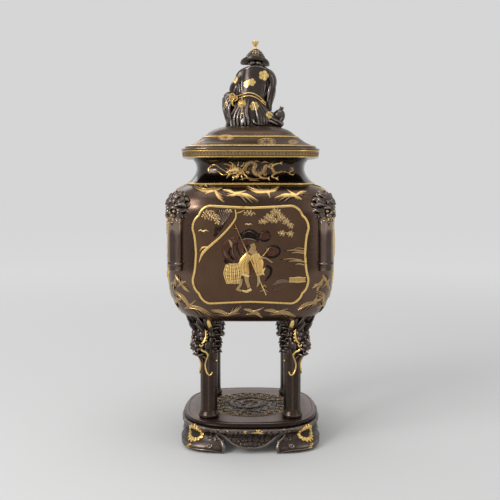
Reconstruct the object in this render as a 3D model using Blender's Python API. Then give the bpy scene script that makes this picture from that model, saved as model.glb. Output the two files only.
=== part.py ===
"""A bronze incense burner on its own stand, about 0.6 m tall, as twelve separate castings.

Metres, +Z up. The origin is on the floor under the middle of the stand. The front faces -Y, and +X is
on the right of somebody who stands in front. Every plan is a rounded square, |x|^power + |y|^power =
half^power, and every hollow casting is one closed skin: down one side of the wall and up the other.
"""

import math

import bmesh
import bpy
import numpy as np
from mathutils import Matrix

for old in list(bpy.data.objects):
    bpy.data.objects.remove(old, do_unlink=True)

# What all castings share
SEAT_GAP = 0.0003            # air between two castings that rest on each other
QUARTER_STEPS = 7            # facets round a quarter of each rounded square
RELIEF_ROOT = 0.0015         # how deep a raised ornament runs into the wall that carries it
RELIEF_TAPER = 0.6           # width of an ornament's face over that of its foot
LIMB_FACETS = 8
BODY_HALF = 0.1232           # half width of the body, which stand, legs and handles follow

# Stand
STAND_HEIGHT = 0.042
STAND_INSET = 0.0259         # side of the body in to the edge of the plate
STAND_HALF = BODY_HALF - STAND_INSET
STAND_POWER = 2.9
STAND_WALL = 0.0055
STAND_PLATE = 0.0045          # thickness of the plate
FRIEZE_SWELL = 0.0057        # how far the frieze stands out past the plate
FOOT_SWELL = 0.0022          # how far the feet stand out past the plate
FOOT_INNER = 0.0374          # half of the gap between two feet at the floor
FOOT_CURL = 0.0055           # how far the gap widens above the foot's scroll
ARCH_HEIGHT = 0.025
APRON_HALF = 0.014           # half width of the apron's flat tongue
APRON_HEIGHT = 0.0085        # floor to the tongue
MEDALLION_RADIUS = 0.061
MEDALLION_BAND = 0.006       # width of its raised border
MEDALLION_RISE = 0.0012

# Legs
LEG_INSET = 0.0622           # side of the body in to the leg's axis, along X and along Y
LEG_OFFSET = BODY_HALF - LEG_INSET
LEG_RADIUS = 0.0125
LEG_RING_RADIUS = 0.0152     # foot ring
LEG_RING_HEIGHT = 0.0085
LEG_FACETS = 10
HEAD_DROP = 0.016            # underside of the body down to the middle of the dragon's brow
HEAD_TRIANGLES = 195         # facets kept on each dragon's head

# Body
BODY_BOTTOM = 0.176          # floor to its flat underside
BODY_POWER = 4.0
BODY_WALL = 0.004
LOWER_RISE = 0.085           # height of the round from the underside to the straight side
LOWER_REACH = 0.045
SIDE_TOP = 0.345             # floor to the start of the shoulder
SHOULDER_RISE = 0.038
SHOULDER_REACH = 0.038
COLLAR_HALF = 0.0935         # gold ring at the foot of the neck
COLLAR_RISE = 0.003
NECK_WAIST = 0.0805          # half width at the narrowest
NECK_RISE = 0.0345           # collar to the underside of the rim band
NECK_LOWER_FLARE = 0.0125
NECK_UPPER_FLARE = 0.006
RIM_HALF = 0.0999
RIM_RISE = 0.0120            # height of the patterned rim band
LIP_HALF = 0.1029
LIP_RISE = 0.0025

# Framed panels on the body's four sides
PANEL_HALF_WIDTH = 0.0807
PANEL_HALF_HEIGHT = 0.070
PANEL_CENTRE = 0.288
PANEL_DIP_TOP = 0.0027       # how far the long edges sag at their middle
PANEL_DIP_SIDE = 0.0048
PANEL_CREST = 0.025          # where the corner's upper arc starts, in from the side
PANEL_NOTCH_IN = 0.0084      # the corner's cusp, in from the side and down from the top
PANEL_NOTCH_DOWN = 0.0146
PANEL_EAR = 0.0338           # where the corner's lower arc ends, down from the top
FRAME_WIDTH = 0.003
FRAME_RISE = 0.0018
PICTURE_RISE = 0.0030        # relief of the walker's coat; the rest is in shares of it

# Handles
SHAFT_RADIUS = 0.0112
SHAFT_TOP = 0.336
SHAFT_FOOT = 0.262
SHAFT_RING = 0.272           # floor to the collar ring
MASK_CENTRE = 0.352
MASK_TRIANGLES = 165

# Lid
LID_EDGE_HALF = 0.0969
LID_EDGE_RISE = 0.003
LID_RING_HALF = 0.091        # lower gold ring
LID_CROWN_HALF = 0.066       # upper gold ring
LID_CROWN_HEIGHT = 0.0205    # lid's seat to the upper gold ring
LID_HEIGHT = 0.0335          # lid's seat to the flat that carries the figure
LID_SEAT_HALF = 0.040
LID_WALL = 0.0035
LID_FLANGE_DEPTH = 0.009
LID_CLEARANCE = 0.0012       # flange to the mouth

# Figure on the lid
FIGURE_HEIGHT = 0.1325       # its seat to the tip of the hat's finial
FIGURE_TRIANGLES = 1000


def squircle(half, power):
    """Points of one rounded square, closer together at the corners."""
    turn = 2.0 * np.pi * np.arange(4 * QUARTER_STEPS) / (4 * QUARTER_STEPS)
    cos, sin = np.cos(turn), np.sin(turn)
    x = half * np.sign(cos) * np.abs(cos) ** (2.0 / power)
    y = half * np.sign(sin) * np.abs(sin) ** (2.0 / power)
    return x, y


def mesh_object(name, mesh):
    """Put a mesh into the scene under a name."""
    thing = bpy.data.objects.new(name, mesh)
    bpy.context.scene.collection.objects.link(thing)
    return thing


def closed_tube(name, rings):
    """Skin rings of equally many points one after the other, and close both ends with flat caps."""
    work = bmesh.new()
    made = [[work.verts.new(point) for point in ring] for ring in rings]
    count = len(made[0])
    for near, far in zip(made, made[1:]):
        for i in range(count):
            j = (i + 1) % count
            work.faces.new((near[i], near[j], far[j], far[i]))
    work.faces.new(list(reversed(made[0])))
    work.faces.new(made[-1])
    bmesh.ops.recalc_face_normals(work, faces=work.faces)
    mesh = bpy.data.meshes.new(name)
    work.to_mesh(mesh)
    work.free()
    return mesh_object(name, mesh)


def rounded_square_solid(name, profile, power):
    """Skin level rounded squares; profile lists (height, half width) from one cap to the other."""
    rings = []
    for height, half in profile:
        x, y = squircle(half, power)
        rings.append([(px, py, height) for px, py in zip(x, y)])
    return closed_tube(name, rings)


def evaluated_mesh(thing):
    """Return a new mesh with the object's modifiers applied."""
    graph = bpy.context.evaluated_depsgraph_get()
    return bpy.data.meshes.new_from_object(thing.evaluated_get(graph))


def combine(target, tool, operation):
    """Join or cut target by tool with an exact Boolean, and use tool up."""
    boolean = target.modifiers.new("boolean", "BOOLEAN")
    boolean.operation = operation
    boolean.solver = "EXACT"
    boolean.object = tool
    mesh = evaluated_mesh(target)
    target.modifiers.clear()
    target.data = mesh
    bpy.data.objects.remove(tool, do_unlink=True)


def turn_about_z(thing, angle):
    """Turn an object's mesh about the burner's own axis."""
    thing.data.transform(Matrix.Rotation(angle, 4, "Z"))


def finish(thing, colour, roughness, metallic):
    """Give a casting its patina, and shade its rounds smooth."""
    patina = bpy.data.materials.new(thing.name)
    patina.use_nodes = True
    shader = patina.node_tree.nodes["Principled BSDF"]
    shader.inputs["Base Color"].default_value = (*colour, 1.0)
    shader.inputs["Roughness"].default_value = roughness
    shader.inputs["Metallic"].default_value = metallic
    thing.data.materials.clear()
    thing.data.materials.append(patina)
    thing.data.shade_smooth()
    thing.data.set_sharp_from_angle(angle=math.radians(32.0))


def smooth_steps(count):
    """Evenly spaced shares from 0 to 1."""
    return np.linspace(0.0, 1.0, count + 1)


def ribbon(name, path, across, up, widths, rise):
    """Sweep a flat-topped bar along a path; it stands rise above the path and roots below it."""
    rings = []
    for point, side, lift, width in zip(path, across, up, widths):
        half = side * (width / 2.0)
        top = point + lift * rise
        foot = point - lift * RELIEF_ROOT
        face = half * RELIEF_TAPER
        rings.append([foot - half, foot + half, top + face, top - face])
    return closed_tube(name, rings)


def sideways(path, up):
    """Unit vectors across a path, level with the surface whose normals are up."""
    along = np.gradient(path, axis=0)
    across = np.cross(along, up)
    return across / np.linalg.norm(across, axis=1)[:, None]


def closed_band(name, path, across, up, width, rise):
    """Sweep a flat-topped bar round a closed path and join its ends."""
    work = bmesh.new()
    rings = []
    for point, side, lift in zip(path, across, up):
        half = side * (width / 2.0)
        top = point + lift * rise
        foot = point - lift * RELIEF_ROOT
        face = half * RELIEF_TAPER
        corners = (foot - half, foot + half, top + face, top - face)
        rings.append([work.verts.new(corner) for corner in corners])
    for near, far in zip(rings, rings[1:] + rings[:1]):
        for i in range(4):
            j = (i + 1) % 4
            work.faces.new((near[i], near[j], far[j], far[i]))
    bmesh.ops.recalc_face_normals(work, faces=work.faces)
    mesh = bpy.data.meshes.new(name)
    work.to_mesh(mesh)
    work.free()
    return mesh_object(name, mesh)


def lobe(centre, radii, turn=0.0):
    """One egg-shaped mass of a modelled form: centre, radii, and a turn about Z in degrees."""
    work = bmesh.new()
    bmesh.ops.create_icosphere(work, subdivisions=2, radius=1.0)
    place = Matrix.Translation(centre) @ Matrix.Rotation(math.radians(turn), 4, "Z")
    bmesh.ops.transform(work, matrix=place @ Matrix.Diagonal((*radii, 1.0)), verts=work.verts)
    mesh = bpy.data.meshes.new("lobe")
    work.to_mesh(mesh)
    work.free()
    return mesh


def limb(points, radii):
    """A tapering round limb through points, with a radius at each."""
    path = np.array(points)
    along = np.gradient(path, axis=0)
    along /= np.linalg.norm(along, axis=1)[:, None]
    work = bmesh.new()
    rings = []
    for point, way, radius in zip(path, along, radii):
        side = np.cross(way, (0.31, 0.17, 0.93) if abs(way[2]) < 0.9 else (0.9, 0.3, 0.1))
        side /= np.linalg.norm(side)
        other = np.cross(way, side)
        ring = []
        for step in range(LIMB_FACETS):
            turn = 2.0 * math.pi * step / LIMB_FACETS
            ring.append(work.verts.new(point + radius * (math.cos(turn) * side + math.sin(turn) * other)))
        rings.append(ring)
    for near, far in zip(rings, rings[1:]):
        for i in range(LIMB_FACETS):
            j = (i + 1) % LIMB_FACETS
            work.faces.new((near[i], near[j], far[j], far[i]))
    work.faces.new(list(reversed(rings[0])))
    work.faces.new(rings[-1])
    mesh = bpy.data.meshes.new("limb")
    work.to_mesh(mesh)
    work.free()
    return mesh


def modelled_form(name, masses, grain, triangles):
    """Melt overlapping masses into one closed skin, and keep about so many triangles of it."""
    work = bmesh.new()
    for mass in masses:
        work.from_mesh(mass)
    joined = bpy.data.meshes.new(name)
    work.to_mesh(joined)
    work.free()
    thing = mesh_object(name, joined)
    remesh = thing.modifiers.new("melt", "REMESH")
    remesh.mode = "VOXEL"
    remesh.voxel_size = grain
    melted = evaluated_mesh(thing)
    thing.modifiers.clear()
    thing.data = melted
    full = sum(len(face.vertices) - 2 for face in melted.polygons)
    thin = thing.modifiers.new("thin", "DECIMATE")
    thin.ratio = min(1.0, triangles / full)
    thin.use_collapse_triangulate = True
    thinned = evaluated_mesh(thing)
    thing.modifiers.clear()
    thing.data = thinned
    return thing


# The stand: a hollow casting. The outer wall swells at the frieze and again at the feet.
def stand_profile():
    """Height and half width, from the hollow's ceiling down inside, and up the outer wall."""
    inner = STAND_HALF - STAND_WALL
    shape = (
        (0.00, -0.6), (0.05, 0.35), (0.20, 1.0), (0.42, 0.55), (0.58, 0.75),
    )
    outline = [(STAND_HEIGHT - STAND_PLATE, inner - FOOT_SWELL), (0.0, inner)]
    for share, swell in shape:
        outline.append((share * STAND_HEIGHT, STAND_HALF + swell * FOOT_SWELL))
    for share, swell in ((0.72, 0.75), (0.80, 1.0), (0.87, 0.9), (0.915, 0.1)):
        outline.append((share * STAND_HEIGHT, STAND_HALF + swell * FRIEZE_SWELL))
    outline.append((0.98 * STAND_HEIGHT, STAND_HALF + 0.14 * FRIEZE_SWELL))
    outline.append((STAND_HEIGHT, STAND_HALF - 0.10 * FRIEZE_SWELL))
    return outline


def arch_cutter(angle):
    """The openings between the feet of two opposite sides, as one long bar through the stand."""
    half = [
        (FOOT_INNER, -0.2), (FOOT_INNER + 0.5 * FOOT_CURL, 0.25), (FOOT_INNER + FOOT_CURL, 0.55),
        (FOOT_INNER + 0.8 * FOOT_CURL, 0.85), (FOOT_INNER, 1.0), (FOOT_INNER - 0.7 * FOOT_CURL, 0.97),
    ]
    right = [(x, share * ARCH_HEIGHT) for x, share in half] + [(APRON_HALF, APRON_HEIGHT)]
    outline = right + [(-x, z) for x, z in reversed(right)]
    reach = STAND_HALF + 2.0 * FRIEZE_SWELL
    rings = [[(x, y, z) for x, z in outline] for y in (reach, -reach)]
    cutter = closed_tube("arch", rings)
    turn_about_z(cutter, angle)
    return cutter


def medallion_parts():
    """The scalloped border and the coiled beast of the plate's medallion."""
    steps = 18
    turn = 2.0 * np.pi * np.arange(steps) / steps
    middle = MEDALLION_RADIUS - MEDALLION_BAND / 2.0
    radius = middle * (1.0 + 0.012 * np.where(np.arange(steps) % 2 == 0, 1.0, -1.0))
    flat = np.full(steps, STAND_HEIGHT)
    path = np.stack([radius * np.cos(turn), radius * np.sin(turn), flat], axis=1)
    across = np.stack([np.cos(turn), np.sin(turn), 0.0 * turn], axis=1)
    up = np.tile((0.0, 0.0, 1.0), (steps, 1))
    border = closed_band("border", path, across, up, MEDALLION_BAND, MEDALLION_RISE)
    share = smooth_steps(12)
    flat = np.full(len(share), STAND_HEIGHT)
    angle = 0.9 + 2.0 * math.pi * 1.05 * share
    reach = MEDALLION_RADIUS * (0.66 - 0.42 * share + 0.05 * np.sin(5.0 * np.pi * share))
    coil = np.stack([reach * np.cos(angle), reach * np.sin(angle), flat], axis=1)
    up = np.tile((0.0, 0.0, 1.0), (len(share), 1))
    widths = MEDALLION_BAND * (0.5 + 1.5 * np.sin(np.pi * (0.12 + 0.80 * share)))
    beast = ribbon("beast", coil, sideways(coil, up), up, widths, MEDALLION_RISE * 1.3)
    return border, beast


stand = rounded_square_solid("base", stand_profile(), STAND_POWER)
for side_angle in (0.0, math.pi / 2.0):
    combine(stand, arch_cutter(side_angle), "DIFFERENCE")
for ornament in medallion_parts():
    combine(stand, ornament, "UNION")
finish(stand, (0.110, 0.080, 0.068), 0.38, 0.9)


# The body: a hollow vessel with its neck and mouth rim.
def lower_round(steps, grow):
    """Quarter ellipse from the flat underside up to the straight side."""
    turn = 0.5 * np.pi * smooth_steps(steps)
    heights = BODY_BOTTOM + LOWER_RISE * (1.0 - np.cos(turn))
    halves = BODY_HALF - LOWER_REACH * (1.0 - np.sin(turn)) + grow
    return list(zip(heights, halves))


def shoulder_round(steps, grow):
    """Quarter ellipse from the straight side over to the foot of the neck."""
    turn = 0.46 * np.pi * smooth_steps(steps)
    heights = SIDE_TOP + SHOULDER_RISE * np.sin(turn)
    halves = BODY_HALF - SHOULDER_REACH * (1.0 - np.cos(turn)) + grow
    return list(zip(heights, halves))


def neck_curve(foot, steps, grow):
    """Two parabolas that meet at the waist, from the collar up to the rim band."""
    waist = 0.62
    curve = []
    for share in smooth_steps(steps):
        if share < waist:
            flare = NECK_LOWER_FLARE * ((waist - share) / waist) ** 2
        else:
            flare = NECK_UPPER_FLARE * ((share - waist) / (1.0 - waist)) ** 2
        curve.append((foot + share * NECK_RISE, NECK_WAIST + flare + grow))
    return curve


COLLAR_FOOT = SIDE_TOP + SHOULDER_RISE - COLLAR_RISE / 3.0
NECK_FOOT = COLLAR_FOOT + COLLAR_RISE
RIM_FOOT = NECK_FOOT + NECK_RISE
LIP_FOOT = RIM_FOOT + RIM_RISE
BODY_TOP = LIP_FOOT + LIP_RISE
MOUTH_HALF = NECK_WAIST - BODY_WALL


def body_outer(grow):
    """Outer profile from the underside to the shoulder, grown outwards by grow."""
    return lower_round(6, grow) + shoulder_round(5, grow)


def body_profile():
    """Outer profile from the underside to the lip, then down the inside to the floor."""
    outline = body_outer(0.0)
    outline.append((COLLAR_FOOT, COLLAR_HALF))
    outline.append((COLLAR_FOOT + COLLAR_RISE / 2.0, COLLAR_HALF + COLLAR_RISE / 3.0))
    outline += neck_curve(NECK_FOOT, 4, 0.0)
    outline += [(RIM_FOOT + RIM_RISE / 8.0, RIM_HALF), (LIP_FOOT, RIM_HALF + RIM_RISE / 8.0)]
    outline += [(LIP_FOOT + LIP_RISE / 5.0, LIP_HALF), (BODY_TOP, LIP_HALF)]
    outline += [(BODY_TOP, MOUTH_HALF), (NECK_FOOT, MOUTH_HALF)]
    inner = [(SIDE_TOP + 0.72 * SHOULDER_RISE, BODY_HALF - BODY_WALL - 0.4 * SHOULDER_REACH)]
    inner += [(SIDE_TOP, BODY_HALF - BODY_WALL), (BODY_BOTTOM + LOWER_RISE, BODY_HALF - BODY_WALL)]
    for height, half in reversed(lower_round(3, -BODY_WALL)[:-1]):
        inner.append((max(height, BODY_BOTTOM) + BODY_WALL * 0.9, half))
    return outline + inner


def half_width_at(height):
    """Half width of the body's side wall at a height, between underside and shoulder."""
    if height < BODY_BOTTOM + LOWER_RISE:
        share = (BODY_BOTTOM + LOWER_RISE - height) / LOWER_RISE
        return BODY_HALF - LOWER_REACH * (1.0 - math.sqrt(max(0.0, 1.0 - share * share)))
    if height > SIDE_TOP:
        share = (height - SIDE_TOP) / SHOULDER_RISE
        return BODY_HALF - SHOULDER_REACH * (1.0 - math.sqrt(max(0.0, 1.0 - share * share)))
    return BODY_HALF


def on_side(across, height, stand_off=0.0):
    """Point on the front side at a distance across and a height, stood off the wall."""
    half = half_width_at(height)
    depth = (half ** BODY_POWER - abs(across) ** BODY_POWER) ** (1.0 / BODY_POWER)
    return (across, -depth - stand_off, height)


def side_normals(path):
    """Outward unit normals of the front side at points on it."""
    step = FRAME_WIDTH / 3.0
    normals = []
    for x, _, z in path:
        right = np.subtract(on_side(x + step, z), on_side(x - step, z))
        up = np.subtract(on_side(x, z + step), on_side(x, z - step))
        normal = np.cross(right, up)
        normals.append(normal / np.linalg.norm(normal))
    return np.array(normals)


def arc_between(start, end, first, last, steps):
    """Piece of an ellipse from start to end, whose ends lie at the angles first and last."""
    a, b = math.radians(first), math.radians(last)
    wide = (end[0] - start[0]) / (math.cos(b) - math.cos(a))
    tall = (end[1] - start[1]) / (math.sin(b) - math.sin(a))
    points = []
    for share in smooth_steps(steps):
        turn = a + (b - a) * share
        points.append((start[0] + wide * (math.cos(turn) - math.cos(a)),
                       start[1] + tall * (math.sin(turn) - math.sin(a))))
    return points


def panel_outline():
    """The ogee-cornered panel, anticlockwise from the middle of its right side, about its centre."""
    ear = (PANEL_HALF_WIDTH, PANEL_HALF_HEIGHT - PANEL_EAR)
    cusp = (PANEL_HALF_WIDTH - PANEL_NOTCH_IN, PANEL_HALF_HEIGHT - PANEL_NOTCH_DOWN)
    crest = (PANEL_HALF_WIDTH - PANEL_CREST, PANEL_HALF_HEIGHT)
    quarter = [(PANEL_HALF_WIDTH - PANEL_DIP_SIDE, 0.0)]
    quarter += arc_between(ear, cusp, 0.0, 70.0, 2)
    quarter += arc_between(cusp, crest, 20.0, 90.0, 2)[1:]
    quarter += [(0.0, PANEL_HALF_HEIGHT - PANEL_DIP_TOP)]
    left = [(-x, z) for x, z in reversed(quarter[:-1])]
    upper = quarter + left
    lower = [(x, -z) for x, z in reversed(upper[1:-1])]
    return upper + lower


def panel_frame():
    """The raised wire that frames the front panel."""
    path = np.array([on_side(x, PANEL_CENTRE + z) for x, z in panel_outline()])
    up = side_normals(path)
    ahead = np.roll(path, -1, axis=0) - np.roll(path, 1, axis=0)
    across = np.cross(up, ahead)
    across /= np.linalg.norm(across, axis=1)[:, None]
    return closed_band("frame", path, across, up, FRAME_WIDTH, FRAME_RISE)


def raised_patch(name, centre, radii, rise, tilt=0.0, steps=8):
    """A low egg-shaped pad of relief on the front side; its face is a little smaller than its foot."""
    turns = 2.0 * np.pi * np.arange(steps) / steps
    rings = []
    for lift, scale in ((-RELIEF_ROOT, 1.0), (rise * 0.7, 1.0), (rise, 0.6)):
        ring = []
        for turn in turns:
            x = radii[0] * scale * math.cos(turn)
            z = radii[1] * scale * math.sin(turn)
            across = centre[0] + x * math.cos(tilt) - z * math.sin(tilt)
            height = PANEL_CENTRE + centre[1] + x * math.sin(tilt) + z * math.cos(tilt)
            ring.append(on_side(across, height, lift))
        rings.append(ring)
    return closed_tube(name, rings)


def side_ribbon(name, points, widths, rise):
    """A raised bar on the front side through (across, height above the panel's centre)."""
    path = np.array([on_side(x, PANEL_CENTRE + z) for x, z in points])
    up = side_normals(path)
    return ribbon(name, path, sideways(path, up), up, widths, rise)


def panel_picture():
    """A walker with a hat, a staff and baskets under a bending branch, as low relief."""
    unit = PANEL_HALF_HEIGHT
    pads = (
        ("coat", -0.02, 0.12, 0.24, 0.24, 1.0, 0.0),
        ("trousers", 0.02, -0.22, 0.27, 0.25, 0.87, 0.0),
        ("hat", 0.0, 0.43, 0.22, 0.09, 1.27, 0.0),
        ("basket", -0.36, -0.33, 0.16, 0.18, 1.07, 0.0),
        ("bundle_high", 0.33, 0.33, 0.14, 0.15, 1.0, 0.0),
        ("bundle_low", 0.44, 0.05, 0.17, 0.14, 0.87, 0.6),
    )
    for name, x, z, wide, tall, rise, tilt in pads:
        middle = (x * unit, z * unit)
        yield raised_patch(name, middle, (wide * unit, tall * unit), rise * PICTURE_RISE, tilt)
    for side in (-1.0, 1.0):
        foot = [(0.10 * unit * side, -0.35 * unit), (0.13 * unit * side, -0.60 * unit)]
        yield side_ribbon("shin", foot, (0.14 * unit, 0.09 * unit), 0.8 * PICTURE_RISE)
    share = smooth_steps(6)
    branch = [(unit * (-0.25 - 0.62 * s ** 1.3), unit * (0.86 - 1.15 * s)) for s in share]
    yield side_ribbon("branch", branch, unit * (0.03 + 0.045 * share), 0.53 * PICTURE_RISE)


def neck_beast():
    """A long beast in relief on the front of the neck, its head to the left."""
    share = smooth_steps(12)
    reach = 0.70 * NECK_WAIST
    x = reach * (2.0 * share - 1.0)
    middle = NECK_FOOT + 0.50 * NECK_RISE
    z = middle + 0.20 * NECK_RISE * np.sin(2.0 * np.pi * (1.7 * share + 0.1))
    path = []
    for across, height in zip(x, z):
        level = (height - NECK_FOOT) / NECK_RISE
        flare = NECK_LOWER_FLARE * max(0.0, (0.62 - level) / 0.62) ** 2
        flare += NECK_UPPER_FLARE * max(0.0, (level - 0.62) / 0.38) ** 2
        half = NECK_WAIST + flare
        path.append((across, -(half ** BODY_POWER - abs(across) ** BODY_POWER) ** (1 / BODY_POWER), height))
    path = np.array(path)
    up = np.tile((0.0, -1.0, 0.0), (len(path), 1))
    widths = NECK_RISE * (0.065 + 0.145 * np.sin(np.pi * (0.25 + 0.7 * share)) ** 2)
    return ribbon("neck_beast", path, sideways(path, up), up, widths, FRAME_RISE)


body = rounded_square_solid("body", body_profile(), BODY_POWER)
for quarter_turn in range(4):
    frame_wire = panel_frame()
    turn_about_z(frame_wire, quarter_turn * math.pi / 2.0)
    combine(body, frame_wire, "UNION")
for pad in panel_picture():
    combine(body, pad, "UNION")
combine(body, neck_beast(), "UNION")
finish(body, (0.060, 0.036, 0.026), 0.36, 0.9)


def body_clearance():
    """The body's outer form a little grown, which cuts the castings that touch it."""
    grown = body_outer(1.6 * SEAT_GAP)
    foot = (BODY_BOTTOM - SEAT_GAP, grown[0][1])
    top = (grown[-1][0] + BODY_WALL, grown[-1][1])
    return rounded_square_solid("clearance", [foot] + grown[1:] + [top], BODY_POWER)


# The legs: a turned foot ring, a faceted shaft, and a dragon's head under the body's corner.
def leg_shaft():
    """Turned profile of foot ring and shaft about the leg's own axis."""
    floor = STAND_HEIGHT + SEAT_GAP
    rise = BODY_BOTTOM - 2.2 * LEG_RADIUS - floor
    profile = [
        (floor, 0.90 * LEG_RING_RADIUS), (floor + 0.3 * LEG_RING_HEIGHT, LEG_RING_RADIUS),
        (floor + 0.7 * LEG_RING_HEIGHT, 0.96 * LEG_RING_RADIUS),
        (floor + 1.15 * LEG_RING_HEIGHT, 1.02 * LEG_RADIUS),
        (floor + 0.6 * rise, 0.97 * LEG_RADIUS), (floor + rise, LEG_RADIUS),
    ]
    turn = 2.0 * np.pi * (np.arange(LEG_FACETS) + 0.5) / LEG_FACETS
    axis = LEG_OFFSET * math.sqrt(2.0)
    rings = []
    for height, radius in profile:
        rings.append([(axis + radius * math.cos(t), radius * math.sin(t), height) for t in turn])
    return closed_tube("shaft", rings)


def dragon_head():
    """Brow, snout, jaw, horns, ears and mane, in shares of the head's own size."""
    axis = LEG_OFFSET * math.sqrt(2.0)
    size = 2.0 * LEG_RADIUS
    crown = BODY_BOTTOM - HEAD_DROP

    def at(out, across, up):
        return (axis + out * size, across * size, crown + up * size)

    def mass(out, across, up, long, wide, tall):
        return lobe(at(out, across, up), (long * size, wide * size, tall * size))

    masses = [
        mass(0.35, 0.0, 0.0, 0.75, 0.66, 0.75),
        mass(1.02, 0.0, -0.42, 0.50, 0.34, 0.28),
        mass(1.36, 0.0, -0.40, 0.22, 0.34, 0.20),
        mass(0.86, 0.0, -0.86, 0.42, 0.27, 0.17),
        mass(0.10, 0.0, -0.80, 0.55, 0.55, 0.85),
    ]
    for side in (-1.0, 1.0):
        masses.append(mass(0.86, side * 0.34, 0.06, 0.32, 0.22, 0.24))
        masses.append(mass(0.92, side * 0.36, -0.20, 0.14, 0.12, 0.13))
        masses.append(mass(0.95, side * 0.32, -0.66, 0.36, 0.10, 0.12))
        horn = [at(0.45, side * 0.30, 0.45), at(1.05, side * 0.36, 0.80), at(1.72, side * 0.34, 1.46)]
        masses.append(limb(horn, (0.26 * size, 0.22 * size, 0.09 * size)))
        ear = [at(0.25, side * 0.62, 0.35), at(0.48, side * 0.80, 0.85), at(0.62, side * 0.78, 1.28)]
        masses.append(limb(ear, (0.22 * size, 0.20 * size, 0.07 * size)))
        for lock in range(5):
            drop = 0.34 - 0.42 * lock
            out = -0.20 + 0.13 * (lock % 2)
            root = at(out + 0.25, side * 0.48, drop)
            bend = at(out, side * (0.80 - 0.07 * lock), drop - 0.10)
            tip = at(out - 0.26, side * (0.86 - 0.09 * lock), drop - 0.42)
            masses.append(limb([root, bend, tip], (0.22 * size, 0.20 * size, 0.07 * size)))
    return modelled_form("head", masses, 0.044 * size, HEAD_TRIANGLES)


def corner_copies(prefix, pattern, colour, roughness, metallic):
    """Four castings from one pattern that faces +X, one on each corner of the burner."""
    corners = (("front_left", -135.0), ("front_right", -45.0), ("back_left", 135.0), ("back_right", 45.0))
    for corner, angle in corners:
        copy = mesh_object(prefix + "_" + corner, pattern.data.copy())
        turn_about_z(copy, math.radians(angle))
        finish(copy, colour, roughness, metallic)
    bpy.data.objects.remove(pattern, do_unlink=True)


def corner_cutter():
    """The clearance form turned so that one of its corners faces +X."""
    cutter = body_clearance()
    turn_about_z(cutter, math.pi / 4.0)
    return cutter


leg = leg_shaft()
combine(leg, dragon_head(), "UNION")
combine(leg, corner_cutter(), "DIFFERENCE")
corner_copies("leg", leg, (0.085, 0.066, 0.060), 0.36, 0.9)


# The handles: a lion's mask with a curled mane, and a half-round shaft with a ring near its foot.
def handle_shaft():
    """Upright bar whose axis lies on the body's corner."""
    axis = BODY_HALF * 2.0 ** (0.5 - 1.0 / BODY_POWER)
    edge = 0.09 * SHAFT_RADIUS
    profile = [
        (SHAFT_FOOT, 0.80), (SHAFT_FOOT + edge, 0.94), (SHAFT_RING - 2.0 * edge, 0.94), (SHAFT_RING, 1.12),
        (SHAFT_RING + 3.0 * edge, 1.12), (SHAFT_RING + 5.0 * edge, 0.97), (SHAFT_TOP, 1.0),
    ]
    turn = 2.0 * np.pi * (np.arange(14) + 0.5) / 14
    rings = []
    for height, share in profile:
        radius = share * SHAFT_RADIUS
        rings.append([(axis + radius * math.cos(t), radius * math.sin(t), height) for t in turn])
    return closed_tube("shaft", rings)


def lion_mask():
    """Skull, brows, muzzle, jaw and a ring of mane curls, in shares of the shaft's width."""
    size = 2.0 * SHAFT_RADIUS
    axis = BODY_HALF * 2.0 ** (0.5 - 1.0 / BODY_POWER)

    def mass(out, across, up, long, wide, tall):
        centre = (axis + out * size, across * size, MASK_CENTRE + up * size)
        return lobe(centre, (long * size, wide * size, tall * size))

    masses = [
        mass(0.05, 0.0, 0.05, 0.55, 0.72, 0.80),
        mass(0.48, 0.0, -0.48, 0.38, 0.42, 0.30),
        mass(0.80, 0.0, -0.32, 0.17, 0.22, 0.16),
        mass(0.46, 0.0, -0.92, 0.26, 0.26, 0.20),
    ]
    for side in (-1.0, 1.0):
        masses.append(mass(0.46, side * 0.33, 0.20, 0.26, 0.28, 0.17))
        masses.append(mass(0.46, side * 0.34, -0.06, 0.15, 0.14, 0.12))
        masses.append(mass(0.30, side * 0.56, -0.42, 0.30, 0.28, 0.26))
        masses.append(mass(0.02, side * 0.86, 0.30, 0.20, 0.20, 0.26))
    curls = 9
    for curl in range(curls):
        angle = math.radians(-30.0 + 240.0 * curl / (curls - 1))
        up = 0.05 + 0.86 * math.sin(angle)
        lean = -0.42 * max(0.0, up) ** 1.5
        masses.append(mass(0.10 + lean, 0.88 * math.cos(angle), up, 0.30, 0.25, 0.25))
    for curl in range(5):
        angle = math.radians(20.0 + 140.0 * curl / 4)
        masses.append(mass(0.34, 0.42 * math.cos(angle), 0.34 + 0.30 * math.sin(angle), 0.22, 0.17, 0.17))
    return modelled_form("mask", masses, 0.045 * size, MASK_TRIANGLES)


handle = handle_shaft()
combine(handle, lion_mask(), "UNION")
combine(handle, corner_cutter(), "DIFFERENCE")
corner_copies("handle", handle, (0.080, 0.058, 0.050), 0.36, 0.9)


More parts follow.
